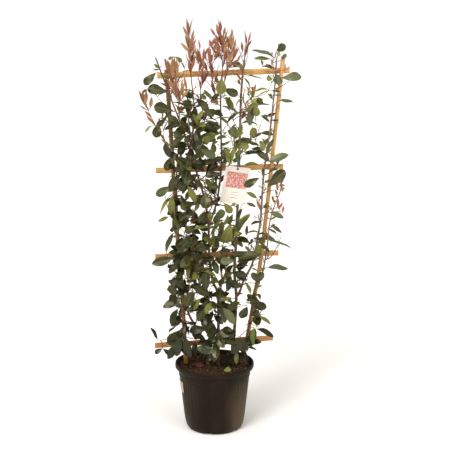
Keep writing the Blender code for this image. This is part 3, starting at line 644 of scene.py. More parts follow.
stems = {  # parent, stand-off from the frame, radius at foot and tip, then x and height up the stem
    "centre_stem": (None, 0.030, 0.0052, 0.0020, [
        (0.012, 0.210), (0.013, 0.34), (0.011, 0.450), (-0.006, 0.500), (-0.017, 0.600), (-0.019, 0.684),
        (-0.032, 0.772), (-0.057, 0.858), (-0.099, 0.993), (-0.137, 1.095), (-0.180, 1.214)]),
    "left_stem": (None, 0.016, 0.0044, 0.0018, [
        (-0.022, 0.210), (-0.051, 0.316), (-0.090, 0.402), (-0.111, 0.545), (-0.120, 0.800),
        (-0.112, 0.950), (-0.109, 1.045)]),
    "right_stem": (None, 0.018, 0.0052, 0.0034, [
        (0.060, 0.210), (0.066, 0.320), (0.072, 0.428), (0.066, 0.525), (0.072, 0.640), (0.081, 0.900),
        (0.086, 1.095), (0.096, 1.205)]),
    "far_right_stem": (None, 0.017, 0.0035, 0.0018, [
        (0.085, 0.210), (0.117, 0.343), (0.130, 0.450), (0.157, 0.510), (0.173, 0.600), (0.184, 0.697),
        (0.216, 0.787)]),
    "centre_right_bough": ("centre_stem", 0.026, 0.0032, 0.0024, [
        (-0.019, 0.690), (0.010, 0.765), (0.023, 0.870), (0.022, 0.984), (0.021, 1.095), (0.026, 1.160)]),
    "centre_short_bough": ("centre_stem", 0.022, 0.0028, 0.0018, [
        (0.012, 0.452), (0.024, 0.500), (0.023, 0.583)]),
    "right_outer_bough": ("right_stem", 0.016, 0.0038, 0.0024, [
        (0.072, 0.440), (0.099, 0.496), (0.127, 0.554), (0.150, 0.686), (0.160, 0.840), (0.180, 0.985),
        (0.194, 1.125), (0.198, 1.200)]),
    "upper_left_bough": ("centre_stem", 0.022, 0.0028, 0.0016, [
        (-0.082, 0.935), (-0.063, 1.010), (-0.064, 1.080), (-0.070, 1.140)]),
}
bark = {
    "flare": 1.6, "flareHeight": 0.035, "sides": 14, "spacing": 0.0035, "sunk": 0.008,
    "relief": 0.0007, "reliefSize": 0.005, "scars": 0.031, "scarHeight": 0.13, "scarWidth": 0.0022,
    "forkOut": 0.010, "forkUp": 0.008,
    "low": tone(128, 86, 56), "high": tone(112, 82, 70), "right": tone(144, 120, 102),
    "patches": tone(84, 64, 54), "grain": tone(166, 134, 112),
}


def atHeight(path, height):  # the place and the way where a path passes a height
    for a, b in zip(path, path[1:]):
        if a.z <= height <= b.z:
            return a.lerp(b, (height - a.z) / (b.z - a.z)), (b - a).normalized()
    return path[-1].copy(), (path[-1] - path[-2]).normalized()


barkFinish = Finish("barkFinish", {"Specular IOR Level": 0.35})
sideways, _, height = barkFinish.parts(barkFinish.place())
grain = barkFinish.noise(barkFinish.place((1, 1, 0.12)), 420.0, 5.0)
patches = barkFinish.noise(barkFinish.place((1, 1, 0.4)), 60.0, 4.0)
rightward = barkFinish.step(sideways, 0.045, 0.070)
colour = barkFinish.mix(barkFinish.step(height, 0.40, 0.75), bark["low"], bark["high"])
colour = barkFinish.mix(rightward * barkFinish.step(height, 0.45, 0.65), colour, bark["right"])
colour = barkFinish.mix(barkFinish.step(patches, 0.40, 0.70) * 0.6, colour, bark["patches"])
colour = barkFinish.mix(barkFinish.step(grain, 0.58, 0.80) * 0.45, colour, bark["grain"])
barkMaterial = barkFinish.put({"Base Color": colour, "Roughness": 0.60 + patches * 0.2,
                               "Normal": barkFinish.bump(grain + patches, 0.0006, 0.7)})
rough = bpy.data.textures.new("barkRelief", "CLOUDS")
rough.noise_scale = bark["reliefSize"]
limbPaths = {}
for node, (parent, standOff, foot, tip, turnsOfStem) in stems.items():
    points = [Vector((x, frameDepth(x) - standOff, z)) for x, z in turnsOfStem]
    if parent:
        middle, way = atHeight(limbPaths[parent], turnsOfStem[0][1])
        towards = points[1] - points[0]
        side = (towards - way * towards.dot(way)).normalized()
        points = [middle, middle + side * bark["forkOut"] + way * bark["forkUp"]] + points[1:]
    else:
        points = [points[0] - Vector((0, 0, bark["sunk"]))] + points
    path, along = evenPath(curvePath(points, 8), bark["spacing"])
    widths = []
    for s in along:
        swell = 1 + (bark["flare"] - 1) * max(0.0, 1 - s / bark["flareHeight"]) ** 2
        fromScar = s % bark["scars"] - bark["scars"] / 2
        scar = bark["scarHeight"] * math.exp(-(fromScar / bark["scarWidth"]) ** 2)
        widths.append((foot + (tip - foot) * s / along[-1]) * swell * (1 + scar))
    limbPaths[node] = path
    stem = rod(camelName(node), path, widths, bark["sides"])
    modify(stem, "DISPLACE", {"texture": rough, "strength": bark["relief"], "mid_level": 0.5,
                              "texture_coords": "LOCAL"})
    smoothBy(stem, 50)
    hold(stem, [node], barkMaterial)
print("stems")


# ties and the label

def softCopy(node, name, levels):  # a CAD node's own shape, rounded
    piece = bpy.data.objects.new(name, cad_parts[node].data.copy())
    piece.data.materials.clear()
    bpy.context.scene.collection.objects.link(piece)
    onlyPiece(piece)
    editMode(True)
    mergePoints()
    bpy.ops.mesh.tris_convert_to_quads()
    editMode(False)
    modify(piece, "SUBSURF", {"levels": levels, "render_levels": levels})
    smoothBy(piece, 60)
    return piece


def tieFinish(name, colour):
    made = Finish(name, {"Roughness": 0.5})
    wear = made.noise(made.place(), 260.0, 4.0)
    darker = tuple(c * 0.7 for c in colour)
    return made.put({"Base Color": made.mix(made.step(wear, 0.35, 0.70), tone(*darker), tone(*colour)),
                     "Normal": made.bump(wear, 0.0004, 0.4)})


ties = {"tie_right_middle": (44, 66, 52), "tie_right_upper": (38, 52, 42), "tie_right_top": (122, 140, 104),
        "tie_right_low": (40, 50, 40)}
knot = {"radius": 0.0026, "thickness": 0.0012, "turn": (1.2, 0.3, 0.2), "sunk": 0.0006,
        "tailRadius": 0.0011,
        "tail": ((0.004, -0.004, 0.001, 0), (0.010, -0.005, -0.003, -0.002), (0.014, -0.002, -0.009, 0))}
for node, colour in ties.items():
    low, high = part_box(node)
    tie = softCopy(node, camelName(node), 2)
    deselectAll()
    knotAt = Vector(((low.x + high.x) / 2, low.y + knot["sunk"], (low.z + high.z) / 2))
    bpy.ops.mesh.primitive_torus_add(major_radius=knot["radius"], minor_radius=knot["thickness"],
                                     major_segments=16, minor_segments=8, location=knotAt,
                                     rotation=knot["turn"])
    extras = [bpy.context.active_object]
    applyPlace(extras[0])
    for side in (-1, 1):  # two tails, one a little lower
        tail = [knotAt + Vector((x * side, y, z + drop * side)) for x, y, z, drop in knot["tail"]]
        extras.append(rod("tail", curvePath([knotAt] + tail, 5), [knot["tailRadius"]] * 16, 8))
    onlyPiece(tie)
    for extra in extras:
        extra.select_set(True)
    bpy.ops.object.join()
    smoothBy(tie, 60)
    hold(tie, [node], tieFinish(node + "Finish", colour))

# a soft band holds the left stem to its cane
softBand = {"height": 0.352, "radius": 0.0021, "aroundCane": 0.0092, "aroundStem": 0.0066, "wave": 0.002,
            "colour": (34, 40, 34)}
canePoints = [Vector((x, frameDepth(x), z)) for x, z in bamboo["canes"]["left_cane"]]
caneMiddle, _ = atHeight(curvePath(canePoints, 6), softBand["height"])
stemMiddle, _ = atHeight(limbPaths["left_stem"], softBand["height"])
loop = []
halves = ((caneMiddle, softBand["aroundCane"], 90), (stemMiddle, softBand["aroundStem"], -90))
for middle, radius, first in halves:
    for number in range(9):
        turn = math.radians(first + 180 * number / 8)
        loop.append(middle + Vector((math.cos(turn), math.sin(turn), 0)) * radius
                    + Vector((0, 0, softBand["wave"] * math.sin(turn * 2))))
path, _ = evenPath(curvePath(loop + loop[:1], 4), 0.002)
leftBand = rod("leftBand", path, [softBand["radius"]] * len(path), 10)
smoothBy(leftBand, 60)
hold(leftBand, [], tieFinish("leftBandFinish", softBand["colour"]))

labelTie = {"fatter": 0.0006, "colour": (52, 158, 130)}
tieLoop = softCopy("label_tie", "labelTie", 1)
editMode(True)
bpy.ops.mesh.select_all(action="SELECT")
bpy.ops.transform.shrink_fatten(value=labelTie["fatter"])
editMode(False)
hold(tieLoop, ["label_tie"], tieFinish("labelTieFinish", labelTie["colour"]))

label = {
    "width": 0.082, "height": 0.120, "thickness": 0.0006, "lean": 9, "turn": 8,
    "left": 0.006, "ahead": 0.024, "loopHeight": 0.918, "holeDrop": 0.055, "holeRadius": 0.0035,
    "inset": 0.004,
    "corner": 0.80, "curl": 0.007, "cornerShift": (0.002, 0.004), "bow": 0.0006, "wave": 0.0008,
    "picture": ((0.12, 0.93), (0.42, 0.85)), "rulesAcross": (0.38, 0.68),
    "rulesUp": ((0.296, 0.311), (0.228, 0.241), (0.152, 0.168)),
    "card": tone(255, 246, 238), "cardGrain": tone(232, 214, 198), "rules": tone(128, 118, 112),
    "petals": tone(255, 232, 222), "petalEdges": tone(234, 124, 132), "palePetals": tone(250, 198, 186),
    "greenery": tone(132, 146, 108),
}
stemAt, _ = atHeight(limbPaths["right_stem"], label["loopHeight"])
hole = stemAt - Vector((label["left"], label["ahead"], label["holeDrop"]))
hang = Matrix.Translation(hole) @ Matrix.Rotation(math.radians(label["turn"]), 4, "Z") \
    @ Matrix.Rotation(math.radians(label["lean"]), 4, "Y") \
    @ Matrix.Translation((0, 0, label["holeRadius"] + label["inset"] - label["height"] / 2))
deselectAll()
bpy.ops.mesh.primitive_grid_add(x_subdivisions=20, y_subdivisions=28, size=1)
card = bpy.context.active_object
card.name = "labelCard"
cornerX, cornerZ = label["cornerShift"]
for point in card.data.vertices:
    u, v = point.co.x, point.co.y
    corner = max(0.0, v - u - label["corner"]) / (1 - label["corner"])  # the top left corner curls up
    bow = label["bow"] * (1 - 4 * u * u) + label["wave"] * math.sin(v * 5)
    point.co = (u * label["width"] + cornerX * corner, -bow - label["curl"] * corner ** 1.6,
                v * label["height"] + cornerZ * corner)
card.data.transform(hang)
modify(card, "SOLIDIFY", {"thickness": label["thickness"], "offset": 0})
cutAway(card, [tuple(hole)], label["holeRadius"], 0.03, [(math.pi / 2, 0, 0)])
smoothBy(card, 30)
cardFinish = Finish("cardFinish", {"Roughness": 0.38, "Specular IOR Level": 0.4})
onCard = cardFinish.node("ShaderNodeUVMap", {"uv_map": card.data.uv_layers[0].name})
across, up, _ = cardFinish.parts(onCard)
flat = cardFinish.node("ShaderNodeCombineXYZ", None, {0: across * 0.68, 1: up})
picture = band(across, *label["picture"][0]) * band(up, *label["picture"][1])
petals = cardFinish.spots(flat, 23.0)
petalTint = cardFinish.noise(flat, 38.0, 2.0)
leafy = cardFinish.noise(flat, 20.0, 3.0)
paperGrain = cardFinish.noise(cardFinish.place(), 700.0, 3.0)
rules = band(across, *label["rulesAcross"]) * sum(band(up, *rule) for rule in label["rulesUp"])
blossom = cardFinish.mix(cardFinish.step(petals, 0.06, 0.50), label["petals"], label["petalEdges"])
blossom = cardFinish.mix(cardFinish.step(petalTint, 0.45, 0.65) * 0.6, blossom, label["palePetals"])
blossom = cardFinish.mix(cardFinish.step(petals, 0.48, 0.60) * cardFinish.step(leafy, 0.44, 0.54), blossom,
                         label["greenery"])
colour = cardFinish.mix(paperGrain * 0.08, label["card"], label["cardGrain"])
colour = cardFinish.mix(rules * 0.7, colour, label["rules"])
colour = cardFinish.mix(picture, colour, blossom)
hold(card, ["label"], cardFinish.put({
    "Base Color": colour, "Normal": cardFinish.bump(paperGrain, 0.0002, 0.2)}))
print("ties and label")


# leaves: their shapes, and joined meshes of each tint

outlines = {  # half width along the blade, from the stalk to the tip
    "broad": (0.06, 0.20, 0.40, 0.62, 0.82, 0.95, 1.0, 0.965, 0.85, 0.66, 0.44, 0.22, 0.04),
    "pointed": (0.06, 0.24, 0.46, 0.70, 0.88, 0.98, 1.0, 0.92, 0.76, 0.54, 0.32, 0.15, 0.03),
    "oval": (0.06, 0.33, 0.61, 0.83, 0.96, 1.0, 0.95, 0.84, 0.69, 0.50, 0.32, 0.17, 0.03),
    "lance": (0.10, 0.44, 0.76, 0.95, 1.0, 0.90, 0.68, 0.36, 0.03),
}
leafKinds = {  # lengths in metres and angles in degrees; twig and lean are for the side twigs
    "mature": {"forms": ("pointed", "oval"), "length": 0.060, "width": 0.027, "angle": 62, "droop": 0.24,
               "twig": 0.42, "lean": 0.75, "stem": 0.0020, "stalk": 0.010, "arch": (0.15, 1.15),
               "fold": (0.08, 0.45)},
    "young": {"forms": ("oval",), "length": 0.054, "width": 0.024, "angle": 48, "droop": 0.14,
              "twig": 0.38, "lean": 0.75, "stem": 0.0018, "stalk": 0.009, "arch": (0.10, 0.75),
              "fold": (0.15, 0.42)},
    "bronze": {"forms": ("lance",), "length": 0.044, "width": 0.0115, "angle": 24, "droop": 0.03,
               "twig": 0.32, "lean": 0.50, "stem": 0.0018, "stalk": 0.003, "arch": (-0.25, 0.35),
               "fold": (0.3, 0.6)},
    "plume": {"forms": ("lance",), "length": 0.047, "width": 0.0138, "angle": 20, "droop": 0.00,
              "twig": 0.20, "lean": 0.30, "stem": 0.0019, "stalk": 0.002, "arch": (-0.30, 0.25),
              "fold": (0.35, 0.7)},
}
softKinds, softTints = ("bronze", "plume"), ("bronze", "red")
tints = {  # slot, upper face, its second tone, lower face, rib, roughness
    # deep is dealt to low, inner and back leaves: their own darker green, and painted shade of the light
    # falling off towards the foot
    "deep": ("mature_leaves", (22, 26, 11), (34, 38, 17), (58, 62, 34), (62, 67, 36), 0.24),
    "dark": ("mature_leaves", (41, 44, 19), (58, 60, 29), (90, 93, 52), (94, 98, 58), 0.22),
    "grey": ("mature_leaves", (64, 72, 44), (86, 95, 61), (102, 108, 72), (104, 112, 72), 0.26),
    "olive": ("young_leaves", (88, 90, 37), (117, 116, 53), (126, 125, 72), (130, 128, 68), 0.40),
    "bright": ("young_leaves", (106, 117, 52), (135, 144, 73), (136, 142, 84), (144, 150, 86), 0.42),
    "bronze": ("bronze_leaves", (136, 95, 62), (168, 129, 93), (168, 130, 94), (146, 86, 60), 0.45),
    "red": ("red_leaves", (122, 68, 55), (156, 98, 78), (154, 104, 86), (130, 60, 52), 0.42),
}
blade = {
    "across": (-1, -0.55, -0.05, 0.05, 0.55, 1, 0.55, 0.05, -0.05, -0.55),  # over the blade and back under
    "under": (0, 0, 0, 0, 0, 0, 1, 1, 1, 1),
    "parts": (0, 0, 2, 0, 0, 1, 1, 2, 1, 1),  # upper face, lower face or rib
    "along": (0, 0.09, 0.19, 0.30, 0.42, 0.54, 0.65, 0.75, 0.83, 0.90, 0.95, 0.98, 1.0),
    "twist": (-0.35, 0.35), "wave": (0.02, 0.07), "phase": (0, 6.28), "waves": 9, "teeth": 0.022,
    "thickness": 0.0004, "ribBelow": 0.0009, "ribAbove": 0.0003, "leastArch": 0.02, "flatter": 0.35,
}


def newBag():  # what is gathered for one joined mesh
    return {"points": [], "faces": [], "parts": [], "uvs": [], "total": 0, "count": 0, "nodes": set()}


store = {tint: newBag() for tint in tints}
wood, stalks = newBag(), newBag()


def closeEnds(bag, start, rings, ringSize):  # the first and last ring of a leaf or a tube
    bag["faces"].append(tuple(start + k for k in reversed(range(ringSize))))
    bag["faces"].append(tuple(start + (rings - 1) * ringSize + k for k in range(ringSize)))


def addLeaf(bag, base, way, upper, length, width, outline, arch, fold, rng, node=None):
    way = way.normalized()
    side = way.cross(upper).normalized()
    upper = side.cross(way).normalized()
    shares = np.array(outlines[outline])
    count, ringSize = len(shares), len(blade["across"])
    t = np.array(blade["along"]) if count == len(blade["along"]) else np.linspace(0, 1, count)
    arch = arch if abs(arch) > blade["leastArch"] else blade["leastArch"]
    twist, wave, phase = (rng.uniform(*blade[name]) for name in ("twist", "wave", "phase"))
    along = np.sin(arch * t) / arch * length
    sink = -(1 - np.cos(arch * t)) / arch * length
    teeth = 1 + blade["teeth"] * np.where(np.arange(count) % 2, 1, -1)
    v, low = (np.array(blade[name])[None, :] for name in ("across", "under"))
    half = (shares * teeth * width / 2)[:, None]
    x = v * half
    lift = fold * np.abs(v) * half * (1 - blade["flatter"] * np.abs(v))
    lift = lift + wave * width * np.sin(t * blade["waves"] + phase)[:, None] * v * v
    rib = (np.abs(v) < 0.1) * (1 - t)[:, None]
    lift = lift - low * blade["thickness"] - low * rib * blade["ribBelow"]
    lift = lift - (1 - low) * rib * blade["ribAbove"]
    angle = (twist * t)[:, None]
    x, lift = x * np.cos(angle) - lift * np.sin(angle), x * np.sin(angle) + lift * np.cos(angle)
    bend = (arch * t)[:, None]
    y = along[:, None] + lift * np.sin(bend)
    z = sink[:, None] + lift * np.cos(bend)
    placed = np.stack([x, y, z], axis=-1).reshape(-1, 3) @ np.array([side, way, upper]) + np.array(base)
    start = bag["total"]
    for s in range(count - 1):
        for k in range(ringSize):
            n = (k + 1) % ringSize
            a, b = start + s * ringSize, start + (s + 1) * ringSize
            if blade["under"][k] or blade["under"][n]:  # split along the same line as the upper face
                bag["faces"] += [(a + k, a + n, b + k), (a + n, b + n, b + k)]
            else:
                bag["faces"] += [(a + k, a + n, b + n), (a + k, b + n, b + k)]
            bag["parts"] += [blade["parts"][k]] * 2
    closeEnds(bag, start, count, ringSize)
    bag["parts"] += [0, 0]
    bag["points"].append(placed)
    bag["uvs"].append(np.stack([(np.repeat(v, count, axis=0) + 1) / 2,
                                np.repeat(t[:, None], ringSize, axis=1)], axis=-1).reshape(-1, 2))
    bag["total"] += len(placed)
    bag["count"] += 1
    bag["nodes"].add(node)


def addTube(bag, path, radii, sides=6):  # one twig or leaf stalk
    across = (path[1] - path[0]).orthogonal().normalized()
    rings = []
    for number, (place, radius) in enumerate(zip(path, radii)):
        way = (path[min(number + 1, len(path) - 1)] - path[max(number - 1, 0)]).normalized()
        across = (across - way * across.dot(way)).normalized()
        other = way.cross(across)
        for k in range(sides):
            turn = math.tau * k / sides
            rings.append(place + (across * math.cos(turn) + other * math.sin(turn)) * radius)
    start = bag["total"]
    for s in range(len(path) - 1):
        for k in range(sides):
            n = (k + 1) % sides
            a, b = start + s * sides, start + (s + 1) * sides
            bag["faces"].append((a + k, a + n, b + n, b + k))
    closeEnds(bag, start, len(path), sides)
    bag["points"].append(np.array([tuple(p) for p in rings]))
    bag["total"] += len(rings)


stalk = {"radius": 0.0007, "slim": 0.0005, "taper": (1.25, 1.0, 0.9), "rise": 0.12, "into": 0.002,
         "sides": 5}


def leafStalk(root, base, way, radius):
    bend = root.lerp(base, 0.5) + (base - root).length * stalk["rise"] * Vector((0, 0, 1))
    end = base + way.normalized() * stalk["into"]
    addTube(stalks, [root, bend, end], [radius * share for share in stalk["taper"]], stalk["sides"])


# foliage by the growth rule: a shoot leaves its limb, then twigs, then finer twigs and leaves

sprays = {  # limb, height or tip, reach in x, y and z, leaves, kind, and the tints dealt out by spray
    "plume_left": ("upper_left_bough", "tip", (-0.010, 0.000, 0.150), 9, "plume", "bbrb"),
    "plume_left_small": ("upper_left_bough", 1.060, (0.020, -0.034, 0.178), 11, "plume", "rbr"),
    "plume_centre": ("centre_right_bough", "tip", (-0.006, -0.002, 0.132), 9, "plume", "rbrr"),
    "plume_centre_right": ("centre_right_bough", 1.125, (0.034, 0.045, 0.148), 11, "plume", "bbr"),
    "plume_right": ("right_stem", "tip", (0.004, 0.006, 0.050), 5, "plume", "rr"),
    "red_side_shoot": ("centre_right_bough", 1.085, (-0.030, -0.022, 0.138), 16, "bronze", "rrb"),
    "bronze_left": ("left_stem", "tip", (-0.028, -0.006, 0.115), 18, "bronze", "brb"),
    "outer_left": ("left_stem", 0.925, (-0.092, -0.018, 0.125), 12, "bronze", "bo"),
    "right_bronze": ("far_right_stem", "tip", (0.004, -0.006, 0.045), 7, "bronze", "br"),
    "upper_left_leaves": ("centre_stem", 1.050, (-0.066, -0.030, 0.060), 2, "mature", "dd"),
    "upper_inner": ("centre_stem", 0.990, (0.026, -0.045, 0.070), 8, "mature", "dko"),
    "upper_right_shoot": ("right_stem", 1.030, (0.030, -0.020, 0.075), 8, "young", "bob"),
    "upper_side_shoot": ("right_stem", 0.990, (-0.034, -0.030, 0.060), 6, "young", "bd"),
    "shoulder_front": ("centre_stem", 0.930, (0.012, -0.075, 0.090), 17, "mature", "ddkog"),
    "shoulder_back": ("centre_stem", 0.905, (-0.012, 0.080, 0.115), 20, "mature", "dkd"),
    "crown_left": ("upper_left_bough", 0.975, (0.050, -0.025, 0.095), 14, "mature", "ddo"),
    "middle_left_front": ("centre_stem", 0.830, (0.060, -0.045, 0.085), 12, "mature", "dogk"),
    "middle_left_side": ("left_stem", 0.800, (0.028, -0.055, 0.095), 17, "mature", "dkdo"),
    "middle_left_outer": ("left_stem", 0.700, (-0.042, -0.015, 0.105), 12, "mature", "dk"),
    "middle_centre": ("centre_stem", 0.725, (0.030, -0.050, 0.080), 10, "mature", "dogd"),
    "middle_back": ("centre_stem", 0.720, (-0.015, 0.080, 0.125), 17, "mature", "dkg"),
    "left_inner": ("left_stem", 0.620, (0.030, -0.050, 0.110), 19, "mature", "dkdo"),
    "centre_front": ("centre_stem", 0.600, (0.040, -0.055, 0.085), 12, "young", "obd"),
    "centre_back": ("centre_stem", 0.530, (-0.030, 0.075, 0.125), 18, "mature", "dkk"),
    "left_gap": ("left_stem", 0.545, (0.028, -0.045, 0.070), 15, "mature", "dkd"),
    "centre_gap": ("centre_stem", 0.545, (-0.045, -0.035, 0.060), 13, "mature", "dok"),
    "left_outer_low": ("left_stem", 0.520, (-0.050, -0.015, 0.090), 11, "mature", "dk"),
    "left_front_low": ("left_stem", 0.460, (0.034, -0.050, 0.100), 21, "mature", "dkod"),
    "centre_low_front": ("centre_stem", 0.470, (0.034, -0.060, 0.080), 16, "mature", "dkk"),
    "short_tip": ("centre_short_bough", "tip", (0.014, 0.012, 0.060), 7, "mature", "od"),
    "left_low_outer": ("left_stem", 0.385, (-0.050, -0.025, 0.080), 14, "mature", "kd"),
    "left_low_back": ("left_stem", 0.345, (-0.010, 0.075, 0.115), 20, "mature", "kdk"),
    "centre_low": ("centre_stem", 0.365, (-0.030, -0.060, 0.085), 21, "mature", "kkod"),
    "low_gap": ("centre_stem", 0.325, (0.005, -0.055, 0.020), 8, "mature", "dk"),
    "low_left_gap": ("left_stem", 0.350, (-0.034, -0.040, 0.020), 9, "mature", "kd"),
    "foot_left": ("left_stem", 0.300, (-0.088, -0.035, 0.030), 8, "mature", "kd"),
    "foot_centre": ("centre_stem", 0.275, (-0.020, -0.065, 0.055), 19, "mature", "kkd"),
    "foot_right": ("right_stem", 0.270, (0.040, -0.050, 0.022), 13, "mature", "kdo"),
    "right_low": ("far_right_stem", 0.372, (0.045, -0.026, 0.010), 9, "mature", "dg"),
    "right_middle": ("right_outer_bough", 0.560, (-0.020, -0.055, 0.060), 6, "mature", "dg"),
    "right_outer_leaves": ("far_right_stem", 0.560, (0.052, -0.012, 0.080), 3, "mature", "g"),
    "right_upper_outer": ("right_outer_bough", 0.840, (0.052, -0.024, 0.050), 4, "mature", "g"),
    "right_gap": ("right_outer_bough", 0.900, (-0.048, -0.012, 0.105), 6, "mature", "gd"),
    "centre_upper": ("right_stem", 0.900, (-0.030, -0.025, 0.090), 11, "young", "bod"),
    "right_tip": ("right_outer_bough", "tip", (-0.004, -0.008, 0.022), 1, "young", "g"),
    "right_top": ("right_outer_bough", 1.115, (0.045, -0.015, 0.025), 1, "young", "g"),
}
crownEdge = {  # how far out grown leaves reach to the left and right at each height
    "height": (0.25, 0.30, 0.36, 0.43, 0.50, 0.56, 0.62, 0.69, 0.76, 0.82, 0.89, 0.95, 1.02, 1.08, 1.15,
               1.22, 1.35),
    "left": (-0.17, -0.18, -0.150, -0.150, -0.140, -0.150, -0.126, -0.140, -0.150, -0.146, -0.166, -0.155,
             -0.205, -0.225, -0.225, -0.20, -0.12),
    "right": (0.13, 0.14, 0.165, 0.155, 0.155, 0.175, 0.19, 0.20, 0.205, 0.21, 0.215, 0.21, 0.205, 0.21,
              0.235, 0.24, 0.20),
}
letters = {"k": "deep", "d": "dark", "g": "grey", "o": "olive", "b": "bright", "r": "red"}
softLetters = dict(letters, b="bronze")
growth = {
    "seed": 41, "golden": math.radians(137.5), "turn": 0.5, "tries": 9,
    "firstLeaf": 0.16, "lastLeaf": 0.985,
    "upright": 40,  # leaves at less than this angle turn their upper face to the twig
    "angle": (0.8, 1.15), "droop": (0.3, 1.6), "size": (0.78, 1.12), "width": (0.88, 1.08),
    "stalk": (0.8, 1.3), "smaller": 0.03, "lastAngle": 0.35, "lastSize": 0.8,
    "face": ((-0.9, 0.9), (-0.2, 1.1), (0.25, 1.1)), "backFrom": 0.03, "front": -1.0, "back": 0.8,
    "margin": 0.006, "overEdge": 0.004, "lowest": 0.215, "overCard": 0.01,
    "rootIn": 0.002, "rootOut": 0.004, "leastBend": 0.008, "taper": 0.42,
}
twigRule = {
    "leaves": 3, "first": 0.35, "lowest": 0.22, "spread": 0.66, "turn": 0.3, "forward": 0.65, "rise": 0.12,
    "shortest": 0.026, "length": (0.75, 1.2), "lift": 0.10, "foot": 0.55, "tip": 0.34,
}
fineTwig = {"at": 0.5, "turn": 1.9, "forward": 0.7, "out": 0.7, "rise": 0.2, "step": 0.012, "lift": 0.003,
            "leafAt": 0.9, "leafSize": 0.72, "radii": (0.0009, 0.0006)}
keepClear = []  # the left cane comes first, as twigs keep off it
for node in (*bamboo["canes"], *bamboo["slats"], "label", "pot"):
    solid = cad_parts[node]
    corners = [solid.matrix_world @ v.co for v in solid.data.vertices]
    keepClear.append(BVHTree.FromPolygons(corners, [tuple(p.vertices) for p in solid.data.polygons]))
cardLow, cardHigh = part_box("label")
woodPoints = []
for path in limbPaths.values():
    woodPoints += [tuple(p) for p in path[4::3]]


def shootPath(start, out, reach):  # straight out of the limb, then round to the way it reaches
    root = start + out * growth["rootOut"]
    bend = start + out * max(growth["leastBend"], reach.length * 0.25)
    end = start + reach
    path = [start - out * growth["rootIn"], root]
    for t in (n / 9 for n in range(1, 10)):
        path.append(root * (1 - t) ** 2 + bend * 2 * t * (1 - t) + end * t * t)
    return path


def alongPath(path, share):  # the place and the way at a share of the line's length
    lengths = [(b - a).length for a, b in zip(path, path[1:])]
    left = share * sum(lengths)
    for a, b, length in zip(path, path[1:], lengths):
        if left <= length:
            return a.lerp(b, left / length), (b - a).normalized()
        left -= length
    return path[-1].copy(), (path[-1] - path[-2]).normalized()


def sideWay(along, azimuth):  # square to the twig, turned round it
    across = along.orthogonal()
    across.rotate(Matrix.Rotation(azimuth, 3, along))
    return across.normalized()


def taperFor(path, foot, tip):
    return [foot + (tip - foot) * n / (len(path) - 1) for n in range(len(path))]


def beforeCard(p, depth, beside, above):  # ahead of the label's face
    return (p.y < depth and cardLow.x - beside < p.x < cardHigh.x + beside
            and cardLow.z < p.z < cardHigh.z + above)


def blocked(a, b, solids):
    return any(solid.ray_cast(a, b - a, (b - a).length)[0] for solid in solids)


def fits(base, way, upper, length, width):  # inside the crown, off the frame and off the label's face
    tip, middle = base + way * length, base + way * length * 0.5
    side = way.cross(upper).normalized() * width / 2
    margin, over = growth["margin"], growth["overEdge"]
    for p in (tip, middle + side, middle - side):
        left, right = (np.interp(p.z, crownEdge["height"], crownEdge[edge]) for edge in ("left", "right"))
        inside = (left - over < p.x < right + over and cadLow.x - margin < p.x < cadHigh.x + margin
                  and cadLow.y - margin < p.y < cadHigh.y + margin
                  and growth["lowest"] < p.z < cadHigh.z + margin)
        if not inside or beforeCard(p, cardLow.y, over, growth["overCard"]):
            return False
    outline = (base, middle - side, middle + side, tip)
    return not any(blocked(a, b, keepClear) for a, b in combinations(outline, 2))


def dealLeaves(line, count, first, kind, tint, rng, node, size=1.0):  # leaves in a spiral along a twig
    bag, forms = store[tint], kind["forms"]
    before = bag["count"]
    upright = kind["angle"] < growth["upright"]
    for number in range(count):
        root, along = alongPath(line, first + (growth["lastLeaf"] - first) * number / max(1, count - 1))
        last = number == count - 1
        lastAngle, lastSize = (growth["lastAngle"], growth["lastSize"]) if last else (1, 1)
        for attempt in range(growth["tries"]):
            turn = rng.uniform(-growth["turn"], growth["turn"])
            radial = sideWay(along, growth["golden"] * number + turn + attempt * math.tau / growth["tries"])
            angle = math.radians(kind["angle"]) * lastAngle * rng.uniform(*growth["angle"])
            way = along * math.cos(angle) + radial * math.sin(angle)
            way -= Vector((0, 0, 1)) * kind["droop"] * rng.uniform(*growth["droop"])
            way.normalize()
            if upright:
                upper = Vector((0, 0, 0.5)) - radial
            else:
                upper = Vector([rng.uniform(*limits) for limits in growth["face"]])
                upper.y *= growth["front"] if root.y < growth["backFrom"] else growth["back"]
            scale = size * rng.uniform(*growth["size"]) * (1 - growth["smaller"] * attempt) * lastSize
            length, width = kind["length"] * scale, kind["width"] * scale * rng.uniform(*growth["width"])
            reach = kind["stalk"] * rng.uniform(*growth["stalk"])
            base = root + (way + along * 0.4).normalized() * reach
            if fits(base, way, upper, length, width):
                leafStalk(root, base, way, stalk["slim" if upright else "radius"])
                arch = rng.uniform(*kind["arch"])
                form = rng.choice(forms) if len(forms) > 1 else forms[0]
                fold = rng.uniform(*kind["fold"])
                addLeaf(bag, base, way, upper, length, width, form, arch, fold, rng, node)
                break
    return bag["count"] - before


